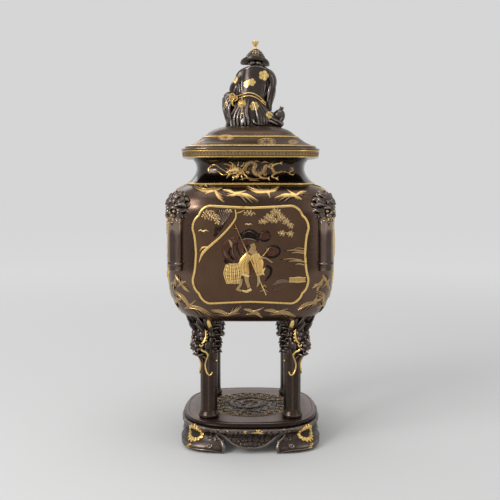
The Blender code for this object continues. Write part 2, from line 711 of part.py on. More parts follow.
# The lid: a hollow casting that sits on the rim, with a flange that drops into the mouth.
def lid_profile():
    """From the hollow's ceiling down inside the flange, out under the edge and up over the top."""
    seat = BODY_TOP + SEAT_GAP
    flange = MOUTH_HALF - LID_CLEARANCE
    crown = seat + LID_CROWN_HEIGHT
    slope = []
    for rise, inward in ((0.22, -0.03), (0.44, 0.32), (0.73, 0.66), (1.0, 0.95)):
        half = LID_RING_HALF + inward * (LID_CROWN_HALF - LID_RING_HALF)
        slope.append((seat + rise * LID_CROWN_HEIGHT, half))
    dome = []
    for share in smooth_steps(3)[1:]:
        turn = 0.5 * math.pi * share
        half = LID_SEAT_HALF + (LID_CROWN_HALF - LID_SEAT_HALF) * math.cos(turn)
        dome.append((crown + (seat + LID_HEIGHT - crown) * math.sin(turn), half))
    outline = [(seat + LID_HEIGHT - LID_WALL, LID_SEAT_HALF - LID_WALL)]
    outline += [(crown - LID_WALL, LID_CROWN_HALF - LID_WALL)]
    foot = seat - LID_FLANGE_DEPTH
    bore = flange - 0.6 * LID_WALL
    outline += [(seat + LID_EDGE_RISE, bore), (foot, bore), (foot, flange)]
    outline += [(seat, flange), (seat, LID_EDGE_HALF)]
    outline += [(seat + LID_EDGE_RISE, LID_EDGE_HALF)]
    return outline + slope + dome


lid = rounded_square_solid("lid", lid_profile(), BODY_POWER)
finish(lid, (0.095, 0.060, 0.042), 0.36, 0.9)


# The figure on the lid sits with its back to the front, one knee raised, and leans on its right arm.
def figure_masses():
    """Head, hat, trunk, limbs, robe and gourd, in shares of the figure's height from its seat."""
    tall = FIGURE_HEIGHT
    seat = BODY_TOP + 2.0 * SEAT_GAP + LID_HEIGHT

    def at(x, y, z):
        return (x * tall, y * tall, seat + z * tall)

    def mass(x, y, z, wide, deep, high, turn=0.0):
        return lobe(at(x, y, z), (wide * tall, deep * tall, high * tall), turn)

    def arm(points, radii):
        return limb([at(*point) for point in points], [radius * tall for radius in radii])

    masses = [
        # head, neck, hat crown, brim and the trumpet-shaped finial
        mass(0.055, 0.035, 0.735, 0.078, 0.088, 0.092),
        arm([(0.05, 0.0, 0.60), (0.055, 0.025, 0.72)], (0.075, 0.060)),
        mass(0.055, 0.030, 0.815, 0.100, 0.105, 0.075),
        arm([(0.045, 0.03, 0.775), (0.050, 0.03, 0.795), (0.055, 0.03, 0.83)], (0.160, 0.158, 0.110)),
        arm([(0.055, 0.03, 0.86), (0.055, 0.03, 0.945), (0.055, 0.03, 0.965), (0.055, 0.03, 0.998)],
            (0.030, 0.014, 0.026, 0.030)),
        # trunk, shoulders and hips
        mass(0.045, -0.03, 0.54, 0.175, 0.130, 0.16),
        mass(0.020, -0.03, 0.42, 0.165, 0.130, 0.16),
        mass(-0.01, -0.03, 0.28, 0.185, 0.150, 0.16),
        mass(0.045, -0.02, 0.625, 0.130, 0.085, 0.06),
        # robe spread over the seat
        mass(-0.02, 0.00, 0.12, 0.245, 0.220, 0.15),
        mass(0.10, 0.03, 0.07, 0.26, 0.190, 0.085),
        mass(-0.16, 0.06, 0.10, 0.14, 0.180, 0.12),
        # left arm down to the raised knee
        arm([(-0.09, -0.02, 0.60), (-0.165, 0.01, 0.50), (-0.215, 0.03, 0.42), (-0.22, 0.12, 0.40)],
            (0.075, 0.082, 0.070, 0.045)),
        # raised left knee, shin and foot
        arm([(-0.08, 0.02, 0.20), (-0.19, 0.12, 0.34), (-0.265, 0.16, 0.37)], (0.13, 0.105, 0.075)),
        arm([(-0.265, 0.15, 0.37), (-0.270, 0.15, 0.22), (-0.250, 0.14, 0.06)], (0.078, 0.074, 0.060)),
        mass(-0.265, 0.17, 0.035, 0.06, 0.11, 0.038),
        # right arm, straight down on to the gourd
        arm([(0.16, -0.02, 0.60), (0.225, -0.02, 0.52), (0.225, -0.02, 0.36), (0.205, 0.0, 0.22)],
            (0.080, 0.070, 0.060, 0.045)),
        mass(0.205, 0.0, 0.20, 0.050, 0.055, 0.045),
        # folded right leg
        arm([(0.05, 0.03, 0.12), (0.22, 0.16, 0.11), (0.27, 0.20, 0.09)], (0.12, 0.10, 0.07)),
        # gourd with its neck knob
        mass(0.320, 0.00, 0.155, 0.088, 0.080, 0.090),
        mass(0.235, 0.03, 0.105, 0.090, 0.085, 0.080),
        arm([(0.345, 0.0, 0.20), (0.375, 0.0, 0.245)], (0.030, 0.026)),
        # pouch on the sash
        mass(-0.085, -0.185, 0.265, 0.034, 0.016, 0.036),
    ]
    # sash, and the hanging folds of the robe
    ring = [(0.00 + 0.185 * math.cos(t), -0.03 + 0.150 * math.sin(t), 0.335 - 0.035 * math.cos(t))
            for t in np.linspace(0.0, 2.0 * math.pi, 17)]
    masses.append(arm(ring, [0.022] * len(ring)))
    for fold in range(7):
        angle = math.radians(200.0 + 22.0 * fold)
        foot = (0.23 * math.cos(angle) - 0.02, 0.20 * math.sin(angle), 0.02)
        knee = (0.235 * math.cos(angle) - 0.02, 0.195 * math.sin(angle) - 0.005, 0.14)
        hip = (0.17 * math.cos(angle) - 0.01, 0.145 * math.sin(angle) - 0.025, 0.30)
        masses.append(arm([foot, knee, hip], (0.036, 0.034, 0.020)))
    return masses


def seat_cutter(height):
    """Everything below the figure's flat seat."""
    half = 2.0 * LID_EDGE_HALF
    corners = ((-half, -half), (half, -half), (half, half), (-half, half))
    return closed_tube("below", [[(x, y, z) for x, y in corners] for z in (height - half, height)])


figure = modelled_form("finial_figure", figure_masses(), 0.0106 * FIGURE_HEIGHT, FIGURE_TRIANGLES)
combine(figure, seat_cutter(BODY_TOP + 2.0 * SEAT_GAP + LID_HEIGHT), "DIFFERENCE")
finish(figure, (0.075, 0.060, 0.056), 0.34, 0.9)
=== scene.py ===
"""A bronze incense burner on its stand, finished piece by piece; all sizes are in millimetres.

The front faces -Y and the floor is z = 0. Each piece's mesh is worked out as numpy grids.
"""

import math

import bpy
import numpy as np
from mathutils import Euler, Matrix, Vector


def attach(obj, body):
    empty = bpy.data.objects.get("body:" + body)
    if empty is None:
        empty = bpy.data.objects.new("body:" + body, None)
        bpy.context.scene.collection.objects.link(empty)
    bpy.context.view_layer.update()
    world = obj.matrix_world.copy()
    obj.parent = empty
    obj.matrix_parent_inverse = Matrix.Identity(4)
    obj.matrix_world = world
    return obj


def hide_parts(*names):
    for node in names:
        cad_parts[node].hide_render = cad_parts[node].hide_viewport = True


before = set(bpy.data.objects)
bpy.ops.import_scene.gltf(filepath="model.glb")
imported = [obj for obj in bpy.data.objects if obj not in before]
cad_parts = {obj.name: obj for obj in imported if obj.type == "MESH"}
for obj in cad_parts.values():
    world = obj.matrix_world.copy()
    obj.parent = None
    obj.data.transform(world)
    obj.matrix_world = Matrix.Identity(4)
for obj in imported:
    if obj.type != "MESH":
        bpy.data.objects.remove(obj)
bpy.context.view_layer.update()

MM = 0.001

# The studio: a seamless pale grey sweep for floor and wall, a broad soft light and a small bright one
# on the left, a weaker one on the right, one above and one behind, and the camera below the rim.
EYE = Vector((-0.8, -1199.0, 394.3)) * MM
TILT = 2.76                    # degrees below level
LENS = 56.54                   # on a frame of the sensor's width
SENSOR = 36.0
FRAMING = -0.072               # the view camera's shift

camera = bpy.data.objects.new("camera", bpy.data.cameras.new("camera"))
camera.data.lens = LENS
camera.data.sensor_width = SENSOR
camera.location = EYE
camera.data.shift_y = FRAMING
camera.rotation_euler = (math.radians(90.0 - TILT), 0.0, 0.0)
bpy.context.scene.collection.objects.link(camera)
bpy.context.scene.camera = camera
bpy.context.scene.view_settings.view_transform = "Standard"


def soft_light(name, place, target, size, power):
    """An area light of a size and power, at a place, turned to a target; all in metres."""
    light = bpy.data.lights.new(name, "AREA")
    light.shape = "RECTANGLE"
    light.size, light.size_y = size
    light.energy = power
    lamp = bpy.data.objects.new(name, light)
    lamp.location = place
    lamp.rotation_euler = (Vector(target) - Vector(place)).to_track_quat("-Z", "Y").to_euler()
    bpy.context.scene.collection.objects.link(lamp)


soft_light("key", (-1.6, -1.3, 1.5), (0.0, 0.0, 0.3), (0.9, 1.5), 26.0)
soft_light("spark", (-1.1, -1.5, 1.0), (0.0, 0.0, 0.3), (0.22, 0.3), 6.0)
soft_light("fill", (1.9, -1.2, 0.9), (0.0, 0.0, 0.3), (0.7, 1.6), 3.5)
soft_light("top", (0.0, -0.2, 2.2), (0.0, 0.0, 0.3), (1.6, 1.2), 10.0)
soft_light("rim", (-0.6, 1.6, 1.5), (0.0, 0.0, 0.4), (1.2, 0.8), 4.0)

PALE = 0.67                    # the even grey of floor and background
world = bpy.data.worlds.new("studio")
world.use_nodes = True
world.node_tree.nodes["Background"].inputs["Color"].default_value = (PALE, PALE, PALE, 1.0)
bpy.context.scene.world = world


def around(count):
    """count angles at even steps round a circle, from 0."""
    return 2.0 * math.pi * np.arange(count) / count


def grid(x, y, z):
    """Points from three arrays that are spread to one shape."""
    return np.stack(np.broadcast_arrays(x, y, z), axis=-1)


def surface(name, grids, attributes=()):
    """One mesh of several grids of points.

    A grid is (points, round, ends): points[i, j] is a corner, joined to its neighbours in i and in j;
    round says that the last column meets the first, and ends says which of the first and last rows
    are closed with a fan to their middle. attributes names the values that follow xyz in a point.
    """
    corners, quads, fans, start = [], [], [], 0
    for points, wrap, ends in grids:
        points = np.asarray(points, float)
        rows, columns, width = points.shape
        index = start + np.arange(rows * columns).reshape(rows, columns)
        corners.append(points.reshape(-1, width))
        start += rows * columns
        beside = np.roll(index, -1, axis=1) if wrap else index[:, 1:]
        here = index if wrap else index[:, :-1]
        quads.append(np.stack([here[:-1], beside[:-1], beside[1:], here[1:]], axis=-1).reshape(-1, 4))
        for end, row, near, far in ((ends[0], 0, beside, here), (ends[1], -1, here, beside)):
            if end:
                corners.append(points[row].mean(axis=0, keepdims=True))
                middle = np.full(near.shape[1], start)
                fans.append(np.stack([near[row], far[row], middle], axis=-1))
                start += 1
    corners = np.concatenate(corners)
    quads = np.concatenate(quads)
    fans = np.concatenate(fans) if fans else np.zeros((0, 3), int)
    return mesh_from(name, corners, [quads, fans], attributes)


def mesh_from(name, corners, faces, attributes=()):
    """Mesh from corner rows (x, y, z in mm, then values) and arrays of faces, shaded smooth."""
    mesh = bpy.data.meshes.new(name)
    mesh.vertices.add(len(corners))
    mesh.vertices.foreach_set("co", (corners[:, :3] * MM).astype(np.float32).ravel())
    loops = np.concatenate([part.ravel() for part in faces]).astype(np.int32)
    counts = np.concatenate([np.full(len(part), part.shape[1]) for part in faces if len(part)])
    mesh.loops.add(len(loops))
    mesh.loops.foreach_set("vertex_index", loops)
    mesh.polygons.add(len(counts))
    starts = np.concatenate([[0], np.cumsum(counts)[:-1]]).astype(np.int32)
    mesh.polygons.foreach_set("loop_start", starts)
    mesh.update(calc_edges=True)
    for place, label in enumerate(attributes):
        values = mesh.attributes.new(label, "FLOAT", "POINT")
        values.data.foreach_set("value", corners[:, 3 + place].astype(np.float32))
    mesh.shade_smooth()
    return mesh


def piece(name, mesh, finish, nodes=()):
    """Put a finished mesh into the scene; it rides on the burner and stands for its CAD nodes."""
    thing = bpy.data.objects.new(name, mesh)
    mesh.materials.clear()
    mesh.materials.append(finish.material)
    bpy.context.scene.collection.objects.link(thing)
    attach(thing, "root")
    if nodes:
        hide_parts(*nodes)


def steps(first, last, count):
    """count + 1 even steps from first to last."""
    return np.linspace(first, last, count + 1)


class Value:
    """A shader socket that can be used in sums: each operator adds the Math node that does it."""

    def __init__(self, tree, socket):
        self.tree, self.socket = tree, socket

    def _math(self, operation, *values):
        return self.tree.make("ShaderNodeMath", {"operation": operation}, *values)

    def __add__(self, other):
        return self._math("ADD", self, other)

    def __radd__(self, other):
        return self._math("ADD", other, self)

    def __sub__(self, other):
        return self._math("SUBTRACT", self, other)

    def __mul__(self, other):
        return self._math("MULTIPLY", self, other)

    def __rmul__(self, other):
        return self._math("MULTIPLY", other, self)

    def between(self, low, high):
        """0 below low and 1 above high, with a smooth rise between."""
        return self.tree.make(
            "ShaderNodeMapRange", {"interpolation_type": "SMOOTHSTEP"}, self, low, high, 0.0, 1.0
        )


class Finish:
    """A Principled material that is built up by make() and paint()."""

    def __init__(self, name):
        self.material = bpy.data.materials.new(name)
        self.material.use_nodes = True
        self.nodes = self.material.node_tree.nodes
        self.links = self.material.node_tree.links
        self.shader = self.nodes["Principled BSDF"]
        self.place = self.make("ShaderNodeTexCoord", {}, output="Object")

    def make(self, kind, settings, *values, output=0, **named):
        """Add a node: its settings first, then the values or links of its sockets, by order or name."""
        node = self.nodes.new(kind)
        for setting, value in settings.items():
            if setting == "bands":
                self._bands(node.color_ramp, value)
            else:
                setattr(node, setting, value)
        sockets = [socket for socket in node.inputs if socket.enabled]
        pairs = list(zip(sockets, values))
        pairs += [(node.inputs[label.replace("_", " ")], value) for label, value in named.items()]
        for socket, value in pairs:
            self.set(socket, value)
        return Value(self, node.outputs[output])

    def _bands(self, ramp, bands):
        ramp.interpolation = "CONSTANT"
        while len(ramp.elements) < len(bands):
            ramp.elements.new(1.0)
        for element, (place, colour) in zip(ramp.elements, bands):
            element.position = place
            element.color = (*colour, 1.0)

    def set(self, socket, value):
        """Link a value to a socket, or set the socket to a plain number or colour."""
        if isinstance(value, Value):
            self.links.new(value.socket, socket)
        elif isinstance(value, (tuple, list)) and len(value) == 3 and len(socket.default_value) == 4:
            socket.default_value = (*value, 1.0)
        else:
            socket.default_value = value

    def paint(self, **inputs):
        """Set the shader's own sockets; an underscore in a name stands for a space."""
        for label, value in inputs.items():
            self.set(self.shader.inputs[label.replace("_", " ")], value)

    def painted(self, label):
        """What is painted on the shader's socket so far, for a further layer."""
        return Value(self, self.shader.inputs[label].links[0].from_socket)

    def level(self):
        """The height above the floor in metres."""
        return self.make("ShaderNodeSeparateXYZ", {}, self.place, output="Z")

    def noise(self, scale, detail=4.0, roughness=0.55):
        """Cloudy values round 0.5, of so many patches to a metre."""
        return self.make(
            "ShaderNodeTexNoise", {}, output="Fac", Vector=self.place,
            Scale=scale, Detail=detail, Roughness=roughness,
        )

    def attribute(self, label):
        """The mesh's own value of that name."""
        return self.make("ShaderNodeAttribute", {"attribute_name": label}, output="Fac")

    def blend(self, share, first, second):
        """A colour that goes from first to second with share."""
        return self.make(
            "ShaderNodeMix", {"data_type": "RGBA"}, share, first, second, output="Result"
        )

    def bump(self, height, strength, distance):
        """A normal that follows a height, for grain too fine to be modelled."""
        return self.make(
            "ShaderNodeBump", {}, output="Normal",
            Height=height, Strength=strength, Distance=distance,
        )


# The floor is pale paper; away from the burner it is lit through from below, so that it meets the
# background without an edge.
NEAR_GREY, NEAR_GLOW = 0.56, 0.025
FAR_GREY = 0.20
CLOSE, AWAY = 0.25, 2.4        # metres from the middle where the floor's change begins and ends
floor_turn = around(96)
floor_reach = np.array([0.05, 0.3, 0.8, 2.0, 5.0, 14.0, 40.0])[::-1, None] / MM
floor_points = grid(floor_reach * np.cos(floor_turn), floor_reach * np.sin(floor_turn), 0.0)
paper = Finish("studio_paper")
distance = paper.make("ShaderNodeVectorMath", {"operation": "LENGTH"}, paper.place, output="Value")
away = distance.between(CLOSE, AWAY)
paper.paint(
    Base_Color=paper.blend(away, (NEAR_GREY,) * 3, (FAR_GREY,) * 3),
    Emission_Color=paper.blend(away, (NEAR_GLOW,) * 3, (PALE * (1.0 - FAR_GREY),) * 3),
    Emission_Strength=1.0, Roughness=1.0, Specular_IOR_Level=0.0,
)
floor = bpy.data.objects.new("floor", surface("floor", [(floor_points, True, (False, True))]))
floor.data.materials.append(paper.material)
bpy.context.scene.collection.objects.link(floor)


# The stand: one hollow bronze casting that the legs stand on. Its plate is rubbed smooth, the frieze
# and the bracket feet are chased with scrolls on a punched ground, and the wreaths and sprays are gold.
STAND_TOP = 42.0
STAND_HALF = 97.3
STAND_POWER = 2.9
STAND_WALL = 5.5
ARCH = (
    (37.6, -6.0), (37.6, 0.0), (36.4, 5.0), (35.8, 10.0), (37.6, 15.0), (41.5, 19.5), (45.8, 22.6),
    (47.6, 25.0), (46.2, 26.8), (42.4, 26.0), (37.6, 22.8), (32.5, 18.6), (26.5, 14.4), (20.0, 11.2),
    (13.5, 9.0), (6.0, 7.8),
)
FOOT_POWER = 4.4               # the feet spread to squarer corners than the plate's
SPREAD_TOP, SPREAD_FOOT = 28.0, 8.0
STAND_COLUMNS = 720
SIDE_RUN = 168.0               # along one side of the frieze, from corner to corner


def smooth_line(points, count):
    """count + 1 places on the Catmull-Rom curve through points.

    Each span between b and c, with a before and d after, is at t from 0 to 1
    b + t (c - a) / 2 + t^2 (2a - 5b + 4c - d) / 2 + t^3 (3b - a - 3c + d) / 2.
    """
    points = np.asarray(points, float)
    padded = np.concatenate([2 * points[:1] - points[1:2], points, 2 * points[-1:] - points[-2:-1]])
    at = steps(0.0, len(padded) - 3.0, count)
    first = np.minimum(at.astype(int), len(padded) - 4)
    t = (at - first)[:, None]
    a, b, c, d = (padded[first + k] for k in range(4))
    return b + t * (c - a) / 2 + t**2 * (2 * a - 5 * b + 4 * c - d) / 2 + t**3 * (3 * b - a - 3 * c + d) / 2


def even(points, count):
    """The same line as count + 1 places at even distances along it."""
    points = np.asarray(points, float)
    run = np.append(0.0, np.cumsum(np.linalg.norm(np.diff(points, axis=0), axis=1)))
    at = steps(0.0, run[-1], count)
    return np.stack([np.interp(at, run, values) for values in points.T], axis=-1)


class Wall:
    """The outside of a casting whose plan is a rounded square: |x|^p + |y|^p = half(z)^p."""

    def __init__(self, profile, power):
        self.heights, self.halves = np.asarray(profile, float).T
        self.power = power
        self.slopes = np.gradient(self.halves, self.heights)

    def half(self, z):
        return np.interp(z, self.heights, self.halves)

    def lifted(self, x, y, z, lift):
        """The point (x, y, z) moved by lift along (|x/h|^(p-1) sign x, |y/h|^(p-1) sign y, -dh/dz)."""
        half, power = self.half(z), self.power
        slope = np.interp(z, self.heights, self.slopes)
        normal = np.stack(
            [
                np.sign(x) * np.abs(x / half) ** (power - 1), np.sign(y) * np.abs(y / half) ** (power - 1),
                -slope
            ],
            axis=-1,
        )
        normal /= np.linalg.norm(normal, axis=-1, keepdims=True)
        return np.stack([x, y, z], axis=-1) + normal * np.asarray(lift)[..., None]

    def front(self, x, z, lift=0.0):
        """The place x across and z up on the -Y side: y = -(half^p - |x|^p)^(1/p), stood off by lift."""
        x, z, lift = np.broadcast_arrays(x, z, lift)
        depth = np.maximum(self.half(z) ** self.power - np.abs(x) ** self.power, 1.0) ** (1.0 / self.power)
        return self.lifted(x, -depth, z, lift)

    def corner(self, x, z, lift=0.0):
        """The place x across and z up on the corner between -X and -Y, seen along the diagonal."""
        x, z, lift = np.broadcast_arrays(x, z, lift)
        reach = 1.3 * self.half(z)
        flat = np.stack([x - reach, -x - reach], axis=-1) / math.sqrt(2.0)
        size = (np.abs(flat) ** self.power).sum(axis=-1) ** (1.0 / self.power)
        flat = flat * (self.half(z) / size)[..., None]
        return self.lifted(flat[..., 0], flat[..., 1], z, lift)


def plan(power, count):
    """x and y of count places at even distances round |x|^p + |y|^p = 1, anticlockwise from +X."""
    turn = steps(0.0, 2.0 * math.pi, 7200)
    radius = (np.abs(np.cos(turn)) ** power + np.abs(np.sin(turn)) ** power) ** (-1.0 / power)
    return even(np.stack([radius * np.cos(turn), radius * np.sin(turn)], axis=-1), count)[:-1].T


def square_skin(profile, power, count):
    """Grid of level rounded squares: (half(s) x(t), half(s) y(t), z(s)) for profile rows (z, half)."""
    x, y = plan(power, count)
    heights, halves = np.asarray(profile, float).T[..., None]
    return grid(halves * x, halves * y, heights)


def raised(points, height):
    """The round grid moved by height along its normals, which are (step round) x (step up), made unit."""
    ring = np.roll(points, -1, axis=1) - np.roll(points, 1, axis=1)
    normal = np.cross(ring, np.gradient(points, axis=0))
    normal /= np.maximum(np.linalg.norm(normal, axis=-1, keepdims=True), 1e-9)
    return points + normal * height[..., None]


def line_relief(across, up, lines):
    """Height of round-backed lines on a ground: the largest rise (1 - (d / w)^2)^(1/2) of all lines.

    A line is (places along it, half width w at its start and end, rise); d is the distance to it.
    """
    spots = np.stack([across.ravel(), up.ravel()], axis=-1)
    tall = np.zeros(len(spots))
    for path, widths, rise in lines:
        path = np.asarray(path, float)
        wide = np.linspace(*widths, len(path))
        low, high = path.min(axis=0) - wide.max(), path.max(axis=0) + wide.max()
        close = np.flatnonzero(((spots > low) & (spots < high)).all(axis=1))
        if len(close):
            gap = np.linalg.norm(spots[close, None] - path, axis=-1) / wide
            here = rise * np.sqrt(np.maximum(1.0 - gap.min(axis=1) ** 2, 0.0))
            tall[close] = np.maximum(tall[close], here)
    return tall.reshape(across.shape)


def swing(k):
    """1 for an odd number and -1 for an even one."""
    return 1.0 if k % 2 else -1.0


def curl(x, z, size, turns, start, hand=1.0, count=40):
    """A spiral round (x, z): radius size (1 - 0.85 s) at the angle start + hand 2 pi turns s."""
    s = steps(0.0, 1.0, count)
    angle = start + hand * 2.0 * math.pi * turns * s
    radius = size * (1.0 - 0.85 * s)
    return np.stack([x + radius * np.cos(angle), z + radius * np.sin(angle)], axis=-1)


def pad(spine, widths, rise, count=10, sink=0.4):
    """A closed low pad along a spine: (across, up, lift) at spine(s) + w(s) cos(a) n(s).

    The lift is b rise sin(a)^0.7 over the upper half of the round and -sink under the lower half,
    where b is 1.6 w(s) / (largest w), kept between 0.25 and 1.
    """
    spine = np.asarray(spine, float)
    ahead = np.gradient(spine, axis=0)
    ahead /= np.linalg.norm(ahead, axis=1, keepdims=True)
    widths = np.interp(steps(0.0, 1.0, len(spine) - 1), steps(0.0, 1.0, len(widths) - 1), widths)
    turn = around(count)
    out = widths[:, None] * np.cos(turn)
    bulge = np.clip(widths / max(widths.max(), 1e-9) * 1.6, 0.25, 1.0)[:, None]
    lift = np.where(np.sin(turn) > 0.001, rise * np.abs(np.sin(turn)) ** 0.7 * bulge, -sink)
    return spine[:, 0:1] - out * ahead[:, 1:2], spine[:, 1:2] + out * ahead[:, 0:1], lift


def closed(points):
    """A grid that goes round and whose two ends are closed."""
    return (points, True, (True, True))


def turned(grids, quarters):
    """The same grids turned about the burner's axis by so many quarter turns."""
    c, s = round(math.cos(quarters * math.pi / 2)), round(math.sin(quarters * math.pi / 2))
    spun = []
    for points, wrap, ends in grids:
        spin = np.eye(points.shape[-1])
        spin[:2, :2] = (c, s), (-s, c)
        spun.append((points @ spin, wrap, ends))
    return spun


def all_sides(grids):
    """The grids on each of the burner's four sides."""
    return [one for quarter in range(4) for one in turned(grids, quarter)]


def cut(mesh, cutters):
    """The mesh with the cutters taken out of it by exact Booleans."""
    block = bpy.data.objects.new("block", mesh)
    bpy.context.scene.collection.objects.link(block)
    tools = [bpy.data.objects.new("tool", cutter) for cutter in cutters]
    for tool in tools:
        bpy.context.scene.collection.objects.link(tool)
        boolean = block.modifiers.new("cut", "BOOLEAN")
        boolean.solver = "EXACT"
        boolean.object = tool
    graph = bpy.context.evaluated_depsgraph_get()
    result = bpy.data.meshes.new_from_object(block.evaluated_get(graph))
    for thing in [block] + tools:
        bpy.data.objects.remove(thing, do_unlink=True)
    result.shade_smooth()
    return result


def tone(mesh, rounds, sharp=38.0):
    """Store how deep each corner lies under its smoothed surroundings, as the attribute hollow.

    Every round replaces a corner by the mean of its neighbours; hollow is the way moved, measured
    along the normal, in tenths of a millimetre: above 0 in a crevice and below 0 on a ridge.
    """
    count = len(mesh.vertices)
    places = np.empty(count * 3, np.float32)
    mesh.vertices.foreach_get("co", places)
    places = places.reshape(-1, 3) / MM
    normals = np.empty(count * 3, np.float32)
    mesh.vertex_normals.foreach_get("vector", normals)
    pairs = np.empty(len(mesh.edges) * 2, np.int32)
    mesh.edges.foreach_get("vertices", pairs)
    one, other = pairs.reshape(-1, 2).T
    share = np.maximum(np.bincount(pairs, minlength=count), 1)[:, None]
    smooth = places.astype(float)
    for _ in range(rounds):
        total = [
            np.bincount(one, smooth[other, k], count) + np.bincount(other, smooth[one, k], count)
            for k in range(3)
        ]
        smooth = np.stack(total, axis=-1) / share
    depth = ((smooth - places) * normals.reshape(-1, 3)).sum(axis=1) * 10.0
    hollow = mesh.attributes.new("hollow", "FLOAT", "POINT")
    hollow.data.foreach_set("value", np.clip(depth, -20.0, 20.0).astype(np.float32))
    mesh.set_sharp_from_angle(angle=math.radians(sharp))
    return mesh


def finished(name, grids, rounds, finish, nodes=(), attributes=()):
    """Put grids into the scene as one piece, toned over so many rounds."""
    piece(name, tone(surface(name, grids, attributes), rounds), finish, nodes)


def bronze(name, deep, plain, worn, shine=0.36, metal=0.8, coat=0.35, grain=0.2):
    """Patinated bronze: a deep colour in crevices, which is patina and grime as well as painted shade, plain
    on the faces, worn on ridges, with soft blotches.

    The share of worn metal is read from the attribute hollow, roughened by noise.
    """
    finish = Finish(name)
    hollow = finish.attribute("hollow")
    cloud = finish.noise(38.0, 5.0, 0.6)
    speck = finish.noise(420.0, 3.0, 0.6)
    edge = (hollow * -1.0 + (speck - 0.5) * 2.2).between(0.5, 4.0)
    # the deep colour in crevices, read from hollow: patina and grime, and painted shade as well
    crevice_grime_and_shade = (hollow + (cloud - 0.5) * 2.0).between(0.3, 3.2)
    ground = finish.blend(cloud.between(0.3, 0.72), plain, tuple(0.72 * value for value in plain))
    ground = finish.blend(crevice_grime_and_shade, ground, deep)
    ground = finish.blend(edge * 0.85, ground, worn)
    rough = shine + (cloud - 0.5) * 0.16 + crevice_grime_and_shade * 0.22 - edge * 0.06
    height = speck * 0.5 + finish.noise(160.0, 2.0, 0.5)
    finish.paint(
        Base_Color=ground, Metallic=metal, Roughness=rough, Coat_Weight=coat, Coat_Roughness=0.2,
        Normal=finish.bump(height, grain, 0.0004),
    )
    return finish


def gold(name, tint=(0.80, 0.55, 0.20), shine=0.26):
    """Soft-worn gold: a little redder and duller in patches."""
    finish = Finish(name)
    cloud = finish.noise(150.0, 4.0, 0.6)
    rub = cloud.between(0.52, 0.75)
    finish.paint(
        Base_Color=finish.blend(rub, tint, (tint[0] * 0.62, tint[1] * 0.50, tint[2] * 0.42)),
        Metallic=1.0, Roughness=shine + rub * 0.18,
        Normal=finish.bump(finish.noise(900.0, 2.0), 0.25, 0.0003),
    )
    return finish


stand_side = [
    (0.0, 0.4), (0.6, 2.4), (2.4, 4.3), (5.5, 5.6), (9.0, 5.7), (13.0, 4.4), (17.5, 2.6), (22.0, 1.8),
    (26.0, 2.6), (29.5, 4.9), (32.5, 5.7), (34.6, 5.2), (35.6, 3.6), (36.0, 1.8),
]
stand_outer = [(z, STAND_HALF + swell) for z, swell in smooth_line(stand_side, 90)]
stand_wall = Wall(even(stand_outer, 74), STAND_POWER)
plate_edge = [
    (36.3, 0.9), (36.7, 1.6), (37.5, 2.0), (39.2, 2.0), (39.9, 1.5), (40.2, 0.8), (40.7, 0.7), (41.4, 0.6),
    (41.8, 0.1), (42.0, -0.7), (42.0, -3.2), (41.75, -3.6), (41.75, -4.3), (42.0, -4.7),
]
inside = STAND_HALF - STAND_WALL
hollow_rows = [
    (STAND_TOP - 4.5, 0.6 * inside), (STAND_TOP - 4.5, inside - 4.0), (STAND_TOP - 7.0, inside),
    (1.0, inside), (0.0, inside + 1.0),
]
stand_profile = hollow_rows + list(zip(stand_wall.heights, stand_wall.halves))
stand_profile += [(z, STAND_HALF + swell) for z, swell in plate_edge]
stand_profile += [(STAND_TOP, half) for half in (84.0, 66.0, 44.0, 22.0)]


def spread(points):
    """The points moved outward low down: x and y times 1 + s (N_p / N_q - 1), N the norms of both powers.

    s rises smoothly from 0 at SPREAD_TOP to 1 at SPREAD_FOOT.
    """
    low = np.clip((SPREAD_TOP - points[..., 2:]) / (SPREAD_TOP - SPREAD_FOOT), 0.0, 1.0)
    flat = points[..., :2]
    squarer = np.linalg.norm(flat, STAND_POWER, axis=-1) / np.linalg.norm(flat, FOOT_POWER, axis=-1)
    share = low * low * (3.0 - 2.0 * low)
    return np.concatenate([flat * (1.0 + share * (squarer[..., None] - 1.0)), points[..., 2:]], axis=-1)


skin = spread(square_skin(stand_profile, STAND_POWER, STAND_COLUMNS))
side = 4.0 * np.arange(STAND_COLUMNS) / STAND_COLUMNS
along = np.broadcast_to((side - np.round(side)) * SIDE_RUN, skin.shape[:2])
rise = skin[..., 2]
row = np.arange(len(stand_profile))[:, None]
carved_rows = (row >= len(hollow_rows)) & (row < len(hollow_rows) + len(stand_wall.heights))

